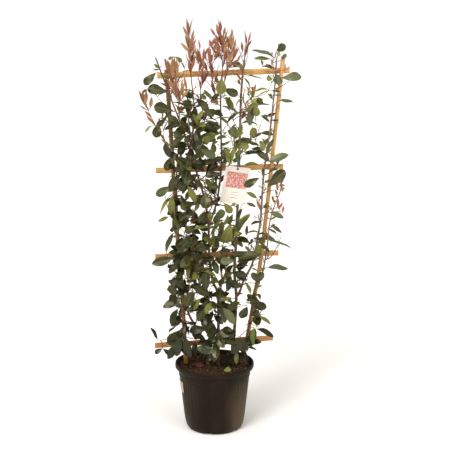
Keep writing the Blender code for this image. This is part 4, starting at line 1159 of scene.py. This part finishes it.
for number, (node, (limb, height, reach, leaves, kindName, deal)) in enumerate(sprays.items()):
    kind = leafKinds[kindName]
    stem, rng, reach = kind["stem"], random.Random(growth["seed"] + number), Vector(reach)
    if height == "tip":
        start, out = limbPaths[limb][-1], (limbPaths[limb][-1] - limbPaths[limb][-2]).normalized()
    else:
        start, way = atHeight(limbPaths[limb], height)
        out = (reach - way * reach.dot(way)).normalized()
    path = shootPath(start, out, reach)
    addTube(wood, path, taperFor(path, stem, stem * growth["taper"]))
    woodPoints += [tuple(p) for p in path[2:]]
    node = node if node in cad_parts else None
    wood["nodes"].add(node)
    soft = kindName in softKinds
    names = [(softLetters if soft else letters)[letter] for letter in deal]
    twigs = max(int(leaves > 2), round((leaves - 4) / 4))
    onStem = max(1, leaves - twigRule["leaves"] * twigs)
    dealLeaves(path, onStem, growth["firstLeaf"], kind, names[0], rng, node)
    for twig in range(twigs):
        root, along = alongPath(path, twigRule["lowest"] + twigRule["spread"] * (twig + 0.5) / twigs)
        azimuth = growth["golden"] * twig + rng.uniform(-twigRule["turn"], twigRule["turn"])
        way = along * twigRule["forward"] + sideWay(along, azimuth) * kind["lean"]
        way += Vector((0, 0, twigRule["rise"]))
        length = max(twigRule["shortest"], kind["twig"] * reach.length * rng.uniform(*twigRule["length"]))
        end = root + way * length + Vector((0, 0, twigRule["lift"] * length))
        line = curvePath([root, root + way * length * 0.5, end], 3)
        if any(not (cadLow.x < p.x < cadHigh.x and cadLow.y < p.y < cadHigh.y) for p in line):
            continue
        tint = names[twig % len(names)]
        if not dealLeaves(line, twigRule["leaves"], twigRule["first"], kind, tint, rng, node):
            continue
        addTube(wood, line, taperFor(line, stem * twigRule["foot"], stem * twigRule["tip"]))
        woodPoints += [tuple(p) for p in line[2:]]
        if soft:
            continue
        root, along = alongPath(line, fineTwig["at"])  # one finer twig, with a smaller leaf at its tip
        way = along * fineTwig["forward"] + sideWay(along, azimuth + fineTwig["turn"]) * fineTwig["out"]
        way += Vector((0, 0, fineTwig["rise"]))
        end = root + way * (fineTwig["step"] * 2) + Vector((0, 0, fineTwig["lift"]))
        line = curvePath([root, root + way * fineTwig["step"], end], 2)
        tint = names[(twig + 1) % len(names)]
        if dealLeaves(line, 1, fineTwig["leafAt"], kind, tint, rng, node, fineTwig["leafSize"]):
            addTube(wood, line, taperFor(line, *fineTwig["radii"]), 5)

axils = {
    "seed": 77, "spacing": 0.030, "between": (0.6, 1.5), "end": 0.03, "lowest": 0.36, "leaves": (2, 4),
    "size": (0.26, 0.50), "rise": 0.012, "out": 0.8, "angle": (20, 42), "stalk": 0.002, "first": 0.4,
    "low": ("olive", "bright"), "high": ("olive", "bronze", "bright", "olive"), "highFrom": 1.0,
    "radii": (0.0011, 0.0009, 0.0006),
}
rng = random.Random(axils["seed"])
for path in limbPaths.values():  # short young shoots along the stems
    along = axils["spacing"]
    total = sum((b - a).length for a, b in zip(path, path[1:]))
    while along < total - axils["end"]:
        root, way = alongPath(path, along / total)
        along += axils["spacing"] * rng.uniform(*axils["between"])
        if root.z < axils["lowest"]:
            continue
        out = way * axils["out"] + sideWay(way, rng.uniform(0, math.tau)) * axils["out"]
        line = [root, root + out * axils["rise"] * 0.5, root + out * axils["rise"]]
        kind = dict(leafKinds["young"], angle=rng.uniform(*axils["angle"]), stalk=axils["stalk"])
        tint = rng.choice(axils["high" if root.z > axils["highFrom"] else "low"])
        count, size = rng.randint(*axils["leaves"]), rng.uniform(*axils["size"])
        if dealLeaves(line, count, axils["first"], kind, tint, rng, None, size):
            addTube(wood, line, axils["radii"], 5)
print("foliage grown:", {tint: bag["count"] for tint, bag in store.items()})


# single leaves that show at the crown's edge and in its gaps, each on a twig from the nearest wood

fineShoots = [  # leafless twigs: x and z of three points, then the depth, in millimetres
    (-68, 1094, -58, 1123, -38, 1143, -40), (-66, 1102, -55, 1134, -46, 1164, -40),
    (-22, 1050, 14, 1114, 30, 1157, -45), (-68, 1116, -37, 1134, -24, 1162, -40),
    (25, 1162, 61, 1209, 73, 1232, -25), (27, 1166, -15, 1185, -21, 1209, -25),
    (24, 1152, 44, 1182, 50, 1207, -25), (7, 1134, -18, 1164, -30, 1201, -30),
    (165, 1106, 181, 1145, 187, 1176, -20), (25, 1176, 35, 1207, 47, 1237, -25),
    (91, 1121, 69, 1152, 53, 1189, -25), (91, 1176, 103, 1213, 106, 1246, -15),
    (91, 1201, 81, 1231, 69, 1256, -15), (25, 1207, 7, 1231, -6, 1262, -28),
    (-102, 1146, -92, 1177, -80, 1214, -40), (22, 1084, 0, 1127, -15, 1152, -30),
    (-14, 335, -24, 356, -35, 376, -30), (-5, 344, -10, 371, -13, 401, -35),
    (-21, 314, -31, 344, -53, 378, -25), (60, 379, 54, 413, 38, 440, -30)
]
singleLeaves = {  # base x and z, tip x and z, width and depth y, in millimetres
    "deep": [
        (-75, 844, -113, 829, 24, -66), (57, 316, 70, 269, 26, -66)],
    "dark": [
        (-178, 1169, -215, 1133, 27, -55), (107, 1159, 149, 1149, 12, -20), (192, 1178, 160, 1186, 10, 45),
        (25, 1135, 10, 1117, 18, -20), (30, 1120, 74, 1101, 27, -55), (93, 915, 146, 916, 10, -50),
        (-92, 1117, -67, 1114, 9, -60), (-145, 1112, -205, 1121, 36, -55), (-61, 1093, -91, 1107, 22, -55),
        (140, 1093, 140, 1074, 23, -55), (-55, 1091, -15, 1048, 25, -55), (-66, 1080, -97, 1080, 12, -55),
        (-43, 1077, -22, 1053, 20, -62), (-34, 1062, 0, 1037, 22, -62), (-128, 1054, -186, 1066, 36, -55),
        (73, 1047, 39, 1015, 15, -55), (-149, 1027, -177, 1006, 19, -55), (-97, 1021, -153, 993, 21, -55),
        (-175, 1011, -182, 967, 30, -20), (119, 966, 150, 982, 14, -40), (-42, 965, -57, 926, 28, -55),
        (-87, 948, -111, 917, 24, -55), (142, 944, 101, 957, 14, -55), (147, 918, 95, 918, 8, -20),
        (-77, 917, -88, 874, 29, -85), (38, 906, -4, 899, 15, -55), (-137, 905, -152, 861, 26, -20),
        (-29, 901, -27, 876, 11, -20), (83, 901, 60, 889, 15, -20), (172, 896, 131, 928, 21, -55),
        (158, 930, 116, 934, 17, -55), (21, 858, -27, 849, 23, -55), (-128, 851, -135, 806, 22, -66),
        (-53, 851, -97, 826, 28, -70), (-119, 845, -94, 804, 26, -70), (142, 844, 95, 816, 25, -60),
        (17, 817, -16, 816, 17, -55), (170, 814, 222, 867, 36, -55), (14, 808, 42, 840, 14, 45),
        (-28, 802, -26, 754, 34, -85), (-65, 765, -105, 751, 32, -55), (-10, 750, 46, 740, 8, -20),
        (-65, 734, -111, 710, 30, -55), (59, 728, 44, 696, 18, -60), (-31, 699, -78, 699, 22, -20),
        (151, 697, 116, 687, 9, -20), (29, 688, 9, 632, 14, -92), (-59, 681, -94, 674, 24, -55),
        (72, 681, 88, 746, 19, -55), (-64, 660, -115, 612, 34, -70), (-130, 659, -154, 598, 15, -20),
        (168, 644, 125, 646, 8, -55), (143, 606, 74, 590, 27, -85), (148, 605, 71, 580, 31, -85),
        (-134, 584, -199, 566, 30, -55), (-36, 560, -63, 539, 16, -55), (-21, 555, -29, 479, 31, -55),
        (-118, 548, -147, 548, 17, -20), (109, 514, 71, 533, 17, -20), (146, 503, 119, 536, 22, -55),
        (131, 499, 157, 538, 23, -55), (-105, 491, -132, 491, 23, -20), (-68, 478, -91, 431, 35, -55),
        (15, 463, 35, 370, 23, -55), (-121, 457, -145, 496, 24, -55), (-107, 455, -165, 422, 29, -55),
        (69, 451, 47, 414, 22, -70), (-21, 444, -53, 375, 25, -55), (112, 436, 168, 421, 28, -55),
        (106, 424, 85, 393, 30, -55), (65, 420, 57, 387, 27, -55), (-118, 417, -141, 365, 21, -55),
        (10, 351, -23, 324, 22, -55), (33, 350, 30, 295, 27, -55), (42, 350, 63, 309, 22, -55),
        (137, 350, 191, 321, 17, -55), (-111, 347, -148, 297, 38, -55), (-72, 339, -29, 312, 18, -55),
        (-103, 334, -123, 274, 23, -85), (-118, 307, -151, 256, 25, -75), (-94, 332, -88, 267, 21, -85),
        (76, 327, 92, 277, 28, -70), (88, 314, 109, 276, 19, -55), (-53, 310, -39, 348, 13, -20),
        (-187, 305, -209, 345, 9, -20), (-170, 274, -196, 257, 17, -20), (-169, 272, -143, 253, 17, -20)],
    "grey": [
        (199, 1233, 225, 1251, 26, 45), (187, 1215, 119, 1235, 16, -20), (212, 1207, 224, 1225, 12, -20),
        (58, 1182, 84, 1194, 18, 45), (191, 1181, 150, 1183, 11, 45), (-106, 1165, -77, 1171, 6, 45),
        (194, 1164, 196, 1133, 31, -55), (209, 1153, 270, 1158, 31, -55), (176, 1114, 205, 1110, 7, -55),
        (-46, 1105, -24, 1089, 15, -60), (27, 1064, 74, 1045, 9, -40), (-5, 1084, -32, 1116, 10, -55),
        (202, 1084, 245, 1078, 16, -55), (135, 1070, 173, 1071, 10, -55), (108, 1055, 112, 1006, 17, -55),
        (77, 1045, 28, 1066, 5, -20), (98, 1033, 108, 1018, 10, -20), (175, 1012, 147, 1035, 8, -20),
        (48, 1003, 70, 970, 20, -55), (-43, 937, 4, 912, 27, -85), (169, 929, 187, 964, 15, -45),
        (173, 894, 233, 916, 27, -55), (-134, 817, -183, 787, 27, -55), (101, 762, 132, 749, 13, -50),
        (175, 733, 220, 715, 21, -55), (0, 715, 35, 738, 29, -55), (180, 691, 214, 666, 17, -55),
        (142, 670, 95, 661, 12, -55), (176, 640, 245, 614, 11, -55), (98, 616, 115, 599, 10, -20),
        (55, 603, 17, 599, 14, -20), (65, 582, 19, 582, 26, -85), (-5, 580, 11, 532, 22, -55),
        (170, 555, 235, 548, 16, -55), (61, 431, 33, 458, 13, -55), (-56, 294, 0, 284, 25, -85),
        (29, 428, 65, 375, 24, -85)],
    "olive": [
        (-125, 1215, -144, 1207, 11, 45), (-122, 1215, -101, 1199, 14, 45), (23, 1154, 22, 1104, 33, -55),
        (61, 1074, 26, 1090, 7, -20), (131, 1070, 133, 1035, 22, -55), (114, 962, 129, 997, 24, -20),
        (155, 957, 150, 929, 19, -50), (-31, 1058, -52, 1027, 13, -88), (-64, 1046, -46, 1006, 14, -88),
        (-18, 1021, -40, 990, 13, -88), (-52, 1000, -31, 1021, 11, -90), (60, 968, 64, 927, 12, -80),
        (75, 943, 109, 942, 23, -55), (52, 909, 34, 937, 15, -82), (68, 902, 80, 937, 13, -80),
        (143, 884, 95, 884, 14, -55), (-84, 822, -58, 769, 14, -85), (-131, 786, -134, 723, 21, -55),
        (31, 763, 55, 731, 24, -55), (52, 748, 69, 755, 9, -20), (-130, 723, -119, 660, 21, -55),
        (-146, 712, -179, 697, 14, -20), (52, 699, 35, 635, 34, -55), (6, 695, 1, 617, 15, -55),
        (137, 635, 145, 586, 21, -55), (-75, 584, -84, 503, 25, -55), (50, 539, 47, 514, 16, -20),
        (30, 513, 56, 500, 13, -20), (-44, 452, -79, 404, 23, -55), (145, 393, 183, 365, 15, -55),
        (69, 276, 70, 231, 13, -55)],
    "bright": [
        (199, 1232, 201, 1219, 11, -20), (174, 1210, 125, 1212, 17, -20), (173, 1158, 176, 1139, 18, 45),
        (122, 1111, 169, 1119, 13, -55), (-145, 1017, -169, 1027, 6, -20), (-193, 1004, -216, 983, 7, -20),
        (-44, 957, 5, 980, 26, -55), (54, 955, 26, 938, 7, -20), (-101, 947, -142, 943, 10, -55),
        (161, 933, 143, 954, 15, -20), (-114, 906, -97, 867, 7, -85), (175, 892, 220, 900, 14, -20),
        (48, 889, 40, 932, 16, -80), (51, 888, 67, 943, 13, -80), (-138, 775, -172, 720, 13, -20),
        (137, 772, 103, 791, 15, -20), (75, 660, 115, 721, 13, -20), (-101, 518, -128, 527, 10, -55),
        (100, 495, 117, 457, 8, -20), (94, 488, 51, 487, 12, -20), (127, 393, 138, 344, 13, -20),
        (127, 354, 126, 293, 15, -55)],
    "bronze": [
        (16, 1292, 9, 1316, 10, -8), (-74, 1283, -65, 1333, 11, -6), (30, 1280, 36, 1308, 10, 4),
        (-78, 1279, -85, 1333, 12, 2), (-78, 1272, -97, 1310, 12, 8), (-69, 1257, -61, 1300, 11, -10),
        (-76, 1253, -81, 1285, 11, 14), (26, 1253, 30, 1288, 12, 6), (57, 1246, 62, 1283, 11, 16),
        (-71, 1242, -73, 1273, 12, -4), (-65, 1242, -49, 1222, 10, -18), (31, 1232, 44, 1262, 11, -34),
        (57, 1231, 47, 1274, 11, 12), (-74, 1229, -103, 1260, 13, -12), (95, 1224, 106, 1259, 9, -6),
        (62, 1223, 70, 1271, 11, 20), (16, 1214, 10, 1238, 12, -18), (48, 1214, 40, 1246, 13, -16),
        (-37, 1210, -27, 1185, 10, -36), (-15, 1210, -9, 1241, 10, -30), (41, 1208, 37, 1239, 13, -8),
        (-105, 1202, -93, 1174, 5, 45), (47, 1201, 62, 1238, 11, -32), (60, 1195, 91, 1177, 8, -20),
        (180, 1190, 180, 1208, 7, -20), (-34, 1189, -43, 1222, 10, -30), (53, 1189, 41, 1232, 12, -30),
        (-38, 1185, -40, 1214, 11, -22), (222, 1178, 221, 1196, 5, -20), (226, 1176, 236, 1188, 5, -20),
        (-75, 1169, -79, 1207, 12, 12), (-97, 1096, -98, 1148, 14, -60), (-84, 1116, -93, 1162, 13, -50),
        (-122, 1168, -122, 1218, 13, -20), (-135, 1163, -144, 1209, 10, -20),
        (-112, 1158, -115, 1210, 13, -58), (-146, 1154, -111, 1096, 12, -66),
        (-127, 1153, -127, 1215, 17, -62), (123, 1108, 129, 1136, 10, -55), (117, 1105, 99, 1129, 11, -55),
        (-109, 1093, -145, 1151, 12, -55), (-106, 1093, -88, 1143, 12, -55),
        (-108, 1089, -120, 1135, 10, -20), (-101, 1087, -73, 1123, 12, -64),
        (-212, 1070, -208, 1118, 16, -55), (-216, 1068, -224, 1113, 15, -20),
        (-216, 1066, -236, 1116, 14, -20), (-197, 1061, -192, 1097, 16, -55),
        (-173, 1015, -169, 1030, 6, -20), (-193, 1012, -213, 1037, 10, -20), (199, 828, 201, 796, 12, -20),
        (208, 823, 219, 844, 12, -55), (207, 814, 225, 814, 12, -20), (214, 810, 218, 793, 12, -20),
        (210, 806, 223, 813, 12, -55), (211, 734, 200, 754, 12, -20), (147, 733, 134, 771, 11, -20),
        (216, 732, 219, 754, 12, -55)],
    "red": [
        (22, 1292, 21, 1325, 10, -2), (5, 1279, -10, 1304, 10, -12), (10, 1274, -12, 1250, 10, -35),
        (16, 1268, -3, 1238, 11, -35), (14, 1257, 6, 1285, 13, -10), (-5, 1242, -14, 1270, 13, -34),
        (11, 1241, 4, 1265, 13, 8), (-3, 1234, 16, 1253, 12, -36), (90, 1232, 86, 1263, 10, -10),
        (-70, 1228, -59, 1267, 13, -14), (22, 1226, 4, 1247, 10, -34), (7, 1225, -9, 1253, 10, -30),
        (19, 1225, 11, 1261, 15, -14), (30, 1225, 38, 1265, 13, -6), (180, 1220, 180, 1233, 6, -20),
        (-30, 1216, -15, 1247, 10, -30), (0, 1213, 13, 1241, 10, -30), (-71, 1210, -58, 1241, 10, 16),
        (-24, 1207, -33, 1238, 10, -30), (59, 1207, 78, 1247, 10, -30), (-32, 1203, -30, 1243, 12, -34),
        (59, 1203, 73, 1246, 12, 14), (-72, 1202, -77, 1242, 13, -10), (-12, 1202, -16, 1245, 13, -30),
        (30, 1202, 40, 1241, 12, -12), (-9, 1195, -6, 1226, 12, -28), (69, 1195, 84, 1225, 9, -30),
        (-69, 1194, -65, 1230, 12, 6), (152, 1190, 147, 1209, 9, -20), (162, 1187, 164, 1197, 4, -20),
        (-11, 1177, -14, 1190, 8, -20), (-44, 1176, -30, 1218, 12, -30), (-6, 1176, 4, 1185, 5, -20),
        (-69, 1174, -57, 1222, 13, -16), (-47, 1171, -38, 1202, 11, -26), (-139, 1169, -150, 1214, 14, -60),
        (69, 1167, 87, 1142, 10, -20), (-143, 1163, -155, 1212, 11, -20), (-118, 1158, -128, 1205, 10, -20),
        (-114, 1096, -120, 1160, 13, -64), (97, 1067, 107, 1085, 8, -20), (98, 1060, 101, 1078, 7, -20),
        (-209, 1049, -235, 1067, 6, -20), (-105, 1047, -124, 1074, 7, -20), (201, 751, 202, 777, 12, -55),
        (205, 746, 217, 764, 10, -55)],
}
blades = {  # how the outline that was read becomes a blade: the least length and width are shares
    "soft": {"narrower": 0.78, "wider": 1.0, "length": 2.2, "width": 0.22, "forms": ("lance", "lance")},
    "firm": {"narrower": 1.0, "wider": 1.3, "length": 1.55, "width": 0.44, "forms": ("oval", "broad")},
}
single = {"seed": 5, "shadedBelow": 0.44, "thin": 0.25, "ovalBelow": 0.45, "fold": (0.05, 0.30),
          "rolled": 0.8, "flatArch": (0.1, 0.5), "rolledArch": (0.3, 0.8), "sway": (-0.25, 0.25),
          "facing": 0.35}
spur = {  # the twig or stalk that carries a single leaf
    "shortest": 0.004, "twigFrom": 0.02, "rise": 0.7, "rootBend": 0.38, "leafBend": 0.22, "into": 0.002,
    "step": 0.008, "tip": 0.0007, "foot": 0.0008, "thicker": 0.012, "thickest": 0.0017,
    "level": 0.30, "climb": 1.6, "nearest": 600, "skip": 3, "arch": 0.3, "fineRadii": (0.0010, 0.0005),
}
rng = random.Random(single["seed"])


def reachWood(base):  # the nearest wood that lies lower or further in, with nothing in the way
    points = np.array(woodPoints)
    gap = np.linalg.norm(points - np.array(base), axis=1)
    rise = points[:, 2] - (base.z - spur["level"] * gap)
    order = np.argsort(gap + spur["climb"] * np.maximum(0, rise))
    for best in order[:spur["nearest"]:spur["skip"]]:
        root = Vector(points[best])
        if any(beforeCard(root.lerp(base, share), cardHigh.y, 0, 0) for share in (0, 0.2, 0.4, 0.6, 0.8)):
            continue
        over = root + Vector((0, 0, spur["arch"] * (base - root).length))
        if not blocked(root, base, keepClear[:1]) and not blocked(over, base, keepClear[:1]):
            return root, float(gap[best])
    return Vector(points[order[0]]), float(gap[order[0]])


for *row, depth in fineShoots:
    points = [Vector((row[n] / 1000, depth / 1000, row[n + 1] / 1000)) for n in (0, 2, 4)]
    line = curvePath([reachWood(points[0])[0]] + points, 4)
    addTube(wood, line, taperFor(line, *spur["fineRadii"]), 5)
    woodPoints += [tuple(p) for p in line[2:]]
jobs = []
for tint, rows in singleLeaves.items():
    for row in rows:
        bx, bz, tx, tz, width, depth = (value / 1000 for value in row)
        base = Vector((bx, depth, bz))
        jobs.append((reachWood(base)[1], tint, base, Vector((tx, depth, tz)), width))
jobs.sort(key=lambda job: job[0])  # the leaves nearest to wood first, as their twigs carry others
for _, tint, base, tip, width in jobs:
    rule = blades["soft" if tint in softTints else "firm"]
    flat = tip - base
    seen = flat.length
    width *= rule["narrower"]
    if width < single["thin"] * seen:
        width *= rule["wider"]
    # dark leaves low on the plant take the deep tint: painted shade of the light falling off towards the
    # foot, and the older leaves' darker green
    if tint == "dark" and base.z < single["shadedBelow"]:
        tint = "deep"
    length = max(seen, width * rule["length"])
    lean = math.sqrt(max(0.0, length * length - seen * seen))
    way = (flat - Vector((0, lean, 0))).normalized()
    real = max(width, length * rule["width"])
    roll = math.acos(min(1.0, width / real))
    facing = Vector((rng.uniform(*single["sway"]), -1, single["facing"]))
    facing = (facing - way * facing.dot(way)).normalized()
    edge = way.cross(facing)
    edge = edge if edge.z > 0 else -edge
    upper = facing * math.cos(roll) + edge * math.sin(roll)
    outline = rule["forms"][width >= single["ovalBelow"] * length]
    arch = rng.uniform(*single["flatArch" if roll < single["rolled"] else "rolledArch"])
    bow = arch * 0.5  # the blade leaves its stalk turned up by half its arch, so its tip lands in its place
    start = (way * math.cos(bow) + upper * math.sin(bow)).normalized()
    fold = rng.uniform(*single["fold"])
    length *= 1 + arch * arch / 24
    addLeaf(store[tint], base, start, upper, length, real, outline, arch, fold, rng)
    root, gap = reachWood(base)
    if gap > spur["shortest"]:
        rise = ((base - root).normalized() + Vector((0, 0, spur["rise"]))).normalized()
        bends = [root, root + rise * gap * spur["rootBend"], base - way * gap * spur["leafBend"],
                 base + way * spur["into"]]
        steps = max(3, int(gap / spur["step"]))
        line = []
        for t in (n / steps for n in range(steps + 1)):
            line.append(bends[0] * (1 - t) ** 3 + bends[1] * 3 * t * (1 - t) ** 2
                        + bends[2] * 3 * t * t * (1 - t) + bends[3] * t ** 3)
        foot = min(spur["thickest"], spur["foot"] + gap * spur["thicker"])
        isTwig = gap > spur["twigFrom"]
        addTube(wood if isTwig else stalks, line, taperFor(line, foot, spur["tip"]), 5)
        if isTwig:
            woodPoints += [tuple(p) for p in line[2:-2]]
print("single leaves:", len(jobs))


leafLook = {"lowerRoughness": 0.62, "ribRoughness": 0.5, "shine": 0.5, "lowShine": 0.25, "veins": 11.0,
            "veinSlant": 7.0, "veinDepth": 0.0007, "shineTint": (1, 0.93, 0.68, 1), "darker": 0.86}


def leafFinishes(name, upperTone, otherTone, lowerTone, ribTone, roughness):
    made = []
    for part, first, second, gloss in (
            ("Upper", upperTone, otherTone, roughness),
            ("Lower", lowerTone, lowerTone, leafLook["lowerRoughness"]),
            ("Rib", ribTone, ribTone, leafLook["ribRoughness"])):
        leaf = Finish(name + part, {
            "Specular IOR Level": leafLook["shine" if part == "Upper" else "lowShine"],
            "Specular Tint": leafLook["shineTint"]})
        broad = leaf.noise(leaf.place(), 17.0, 2.0)
        fine = leaf.noise(leaf.place(), 240.0, 3.0)
        darker = tuple(c * leafLook["darker"] for c in first)
        colour = leaf.mix(leaf.step(broad, 0.38, 0.64), tone(*first), tone(*second))
        colour = leaf.mix(leaf.step(fine, 0.45, 0.75) * 0.4, colour, tone(*darker))
        sockets = {"Base Color": colour, "Roughness": gloss + fine * 0.10}
        if part != "Rib":
            across, along, _ = leaf.parts(leaf.node("ShaderNodeUVMap", {"uv_map": "leaf"}))
            veins = along * leafLook["veins"] - abs(across - 0.5) * leafLook["veinSlant"]
            vein = abs(veins.math("FRACT") - 0.5) * 2.0
            relief = leaf.step(vein, 0.0, 0.35) + fine * 0.3
            sockets["Normal"] = leaf.bump(relief, leafLook["veinDepth"], 0.22)
        made.append(leaf.put(sockets))
    return made


def meshOf(name, bag, degrees=60):
    mesh = bpy.data.meshes.new(name)
    mesh.from_pydata(np.vstack(bag["points"]).tolist(), [], bag["faces"])
    piece = bpy.data.objects.new(name, mesh)
    bpy.context.scene.collection.objects.link(piece)
    smoothBy(piece, degrees)
    return piece


def nodesOf(bag):
    return sorted(node for node in bag["nodes"] if node)


def holdLeaves(name, bag, finishes):
    piece = meshOf(name, bag, 55)
    mesh = piece.data
    for finish in finishes:
        mesh.materials.append(finish)
    mesh.polygons.foreach_set("material_index", bag["parts"])
    layer = mesh.uv_layers.new(name="leaf")
    corners = np.empty(len(mesh.loops), dtype=np.int32)
    mesh.loops.foreach_get("vertex_index", corners)
    layer.data.foreach_set("uv", np.vstack(bag["uvs"])[corners].ravel())
    hold(piece, nodesOf(bag))


for tint, (slot, *tones, roughness) in tints.items():
    holdLeaves(tint + "Leaves", store[tint], leafFinishes(tint, *tones, roughness))

twigTones = {"low": tone(108, 78, 62), "high": tone(136, 70, 62), "mottle": tone(78, 56, 48)}
stalkTones = {"green": tone(112, 112, 66), "brown": tone(134, 92, 66), "high": tone(150, 72, 62)}
twigFinish = Finish("twigFinish", {"Roughness": 0.6, "Specular IOR Level": 0.3})
height = twigFinish.parts(twigFinish.place())[2]
mottle = twigFinish.noise(twigFinish.place(), 120.0, 3.0)
colour = twigFinish.mix(twigFinish.step(height, 0.95, 1.12), twigTones["low"], twigTones["high"])
colour = twigFinish.mix(twigFinish.step(mottle, 0.4, 0.7) * 0.6, colour, twigTones["mottle"])
hold(meshOf("twigs", wood), nodesOf(wood), twigFinish.put({
    "Base Color": colour, "Normal": twigFinish.bump(mottle, 0.0005, 0.5)}))
stalkFinish = Finish("stalkFinish", {"Roughness": 0.5, "Specular IOR Level": 0.4})
height = stalkFinish.parts(stalkFinish.place())[2]
mottle = stalkFinish.noise(stalkFinish.place(), 60.0, 2.0)
colour = stalkFinish.mix(stalkFinish.step(mottle, 0.4, 0.6), stalkTones["green"], stalkTones["brown"])
colour = stalkFinish.mix(stalkFinish.step(height, 1.10, 1.16), colour, stalkTones["high"])
hold(meshOf("leafStalks", stalks), [], stalkFinish.put({"Base Color": colour}))
print("foliage joined")

# leaves that lie on the compost: the foot, the way they point, length, width and tones
fallen = {
    "red": ((-0.076, -0.012, 0.2155), (0.95, 0.05, 0.03), 0.042, 0.034,
            [(104, 44, 44), (128, 58, 56), (120, 70, 62), (96, 44, 40)]),
    "bright": ((0.029, -0.070, 0.2150), (0.85, 0.35, 0.0), 0.032, 0.026, tints["bright"][1:-1]),
}
fallenLook = {"upper": (0.1, -0.3, 1), "arch": 0.35, "fold": 0.1, "roughness": 0.55}
for tint, (base, way, length, width, tones) in fallen.items():
    bag, name = newBag(), "fallen" + tint.title()
    addLeaf(bag, Vector(base), Vector(way), Vector(fallenLook["upper"]), length, width, "broad",
            fallenLook["arch"], fallenLook["fold"], rng)
    holdLeaves(name, bag, leafFinishes(name, *tones, fallenLook["roughness"]))
print("fallen leaves")
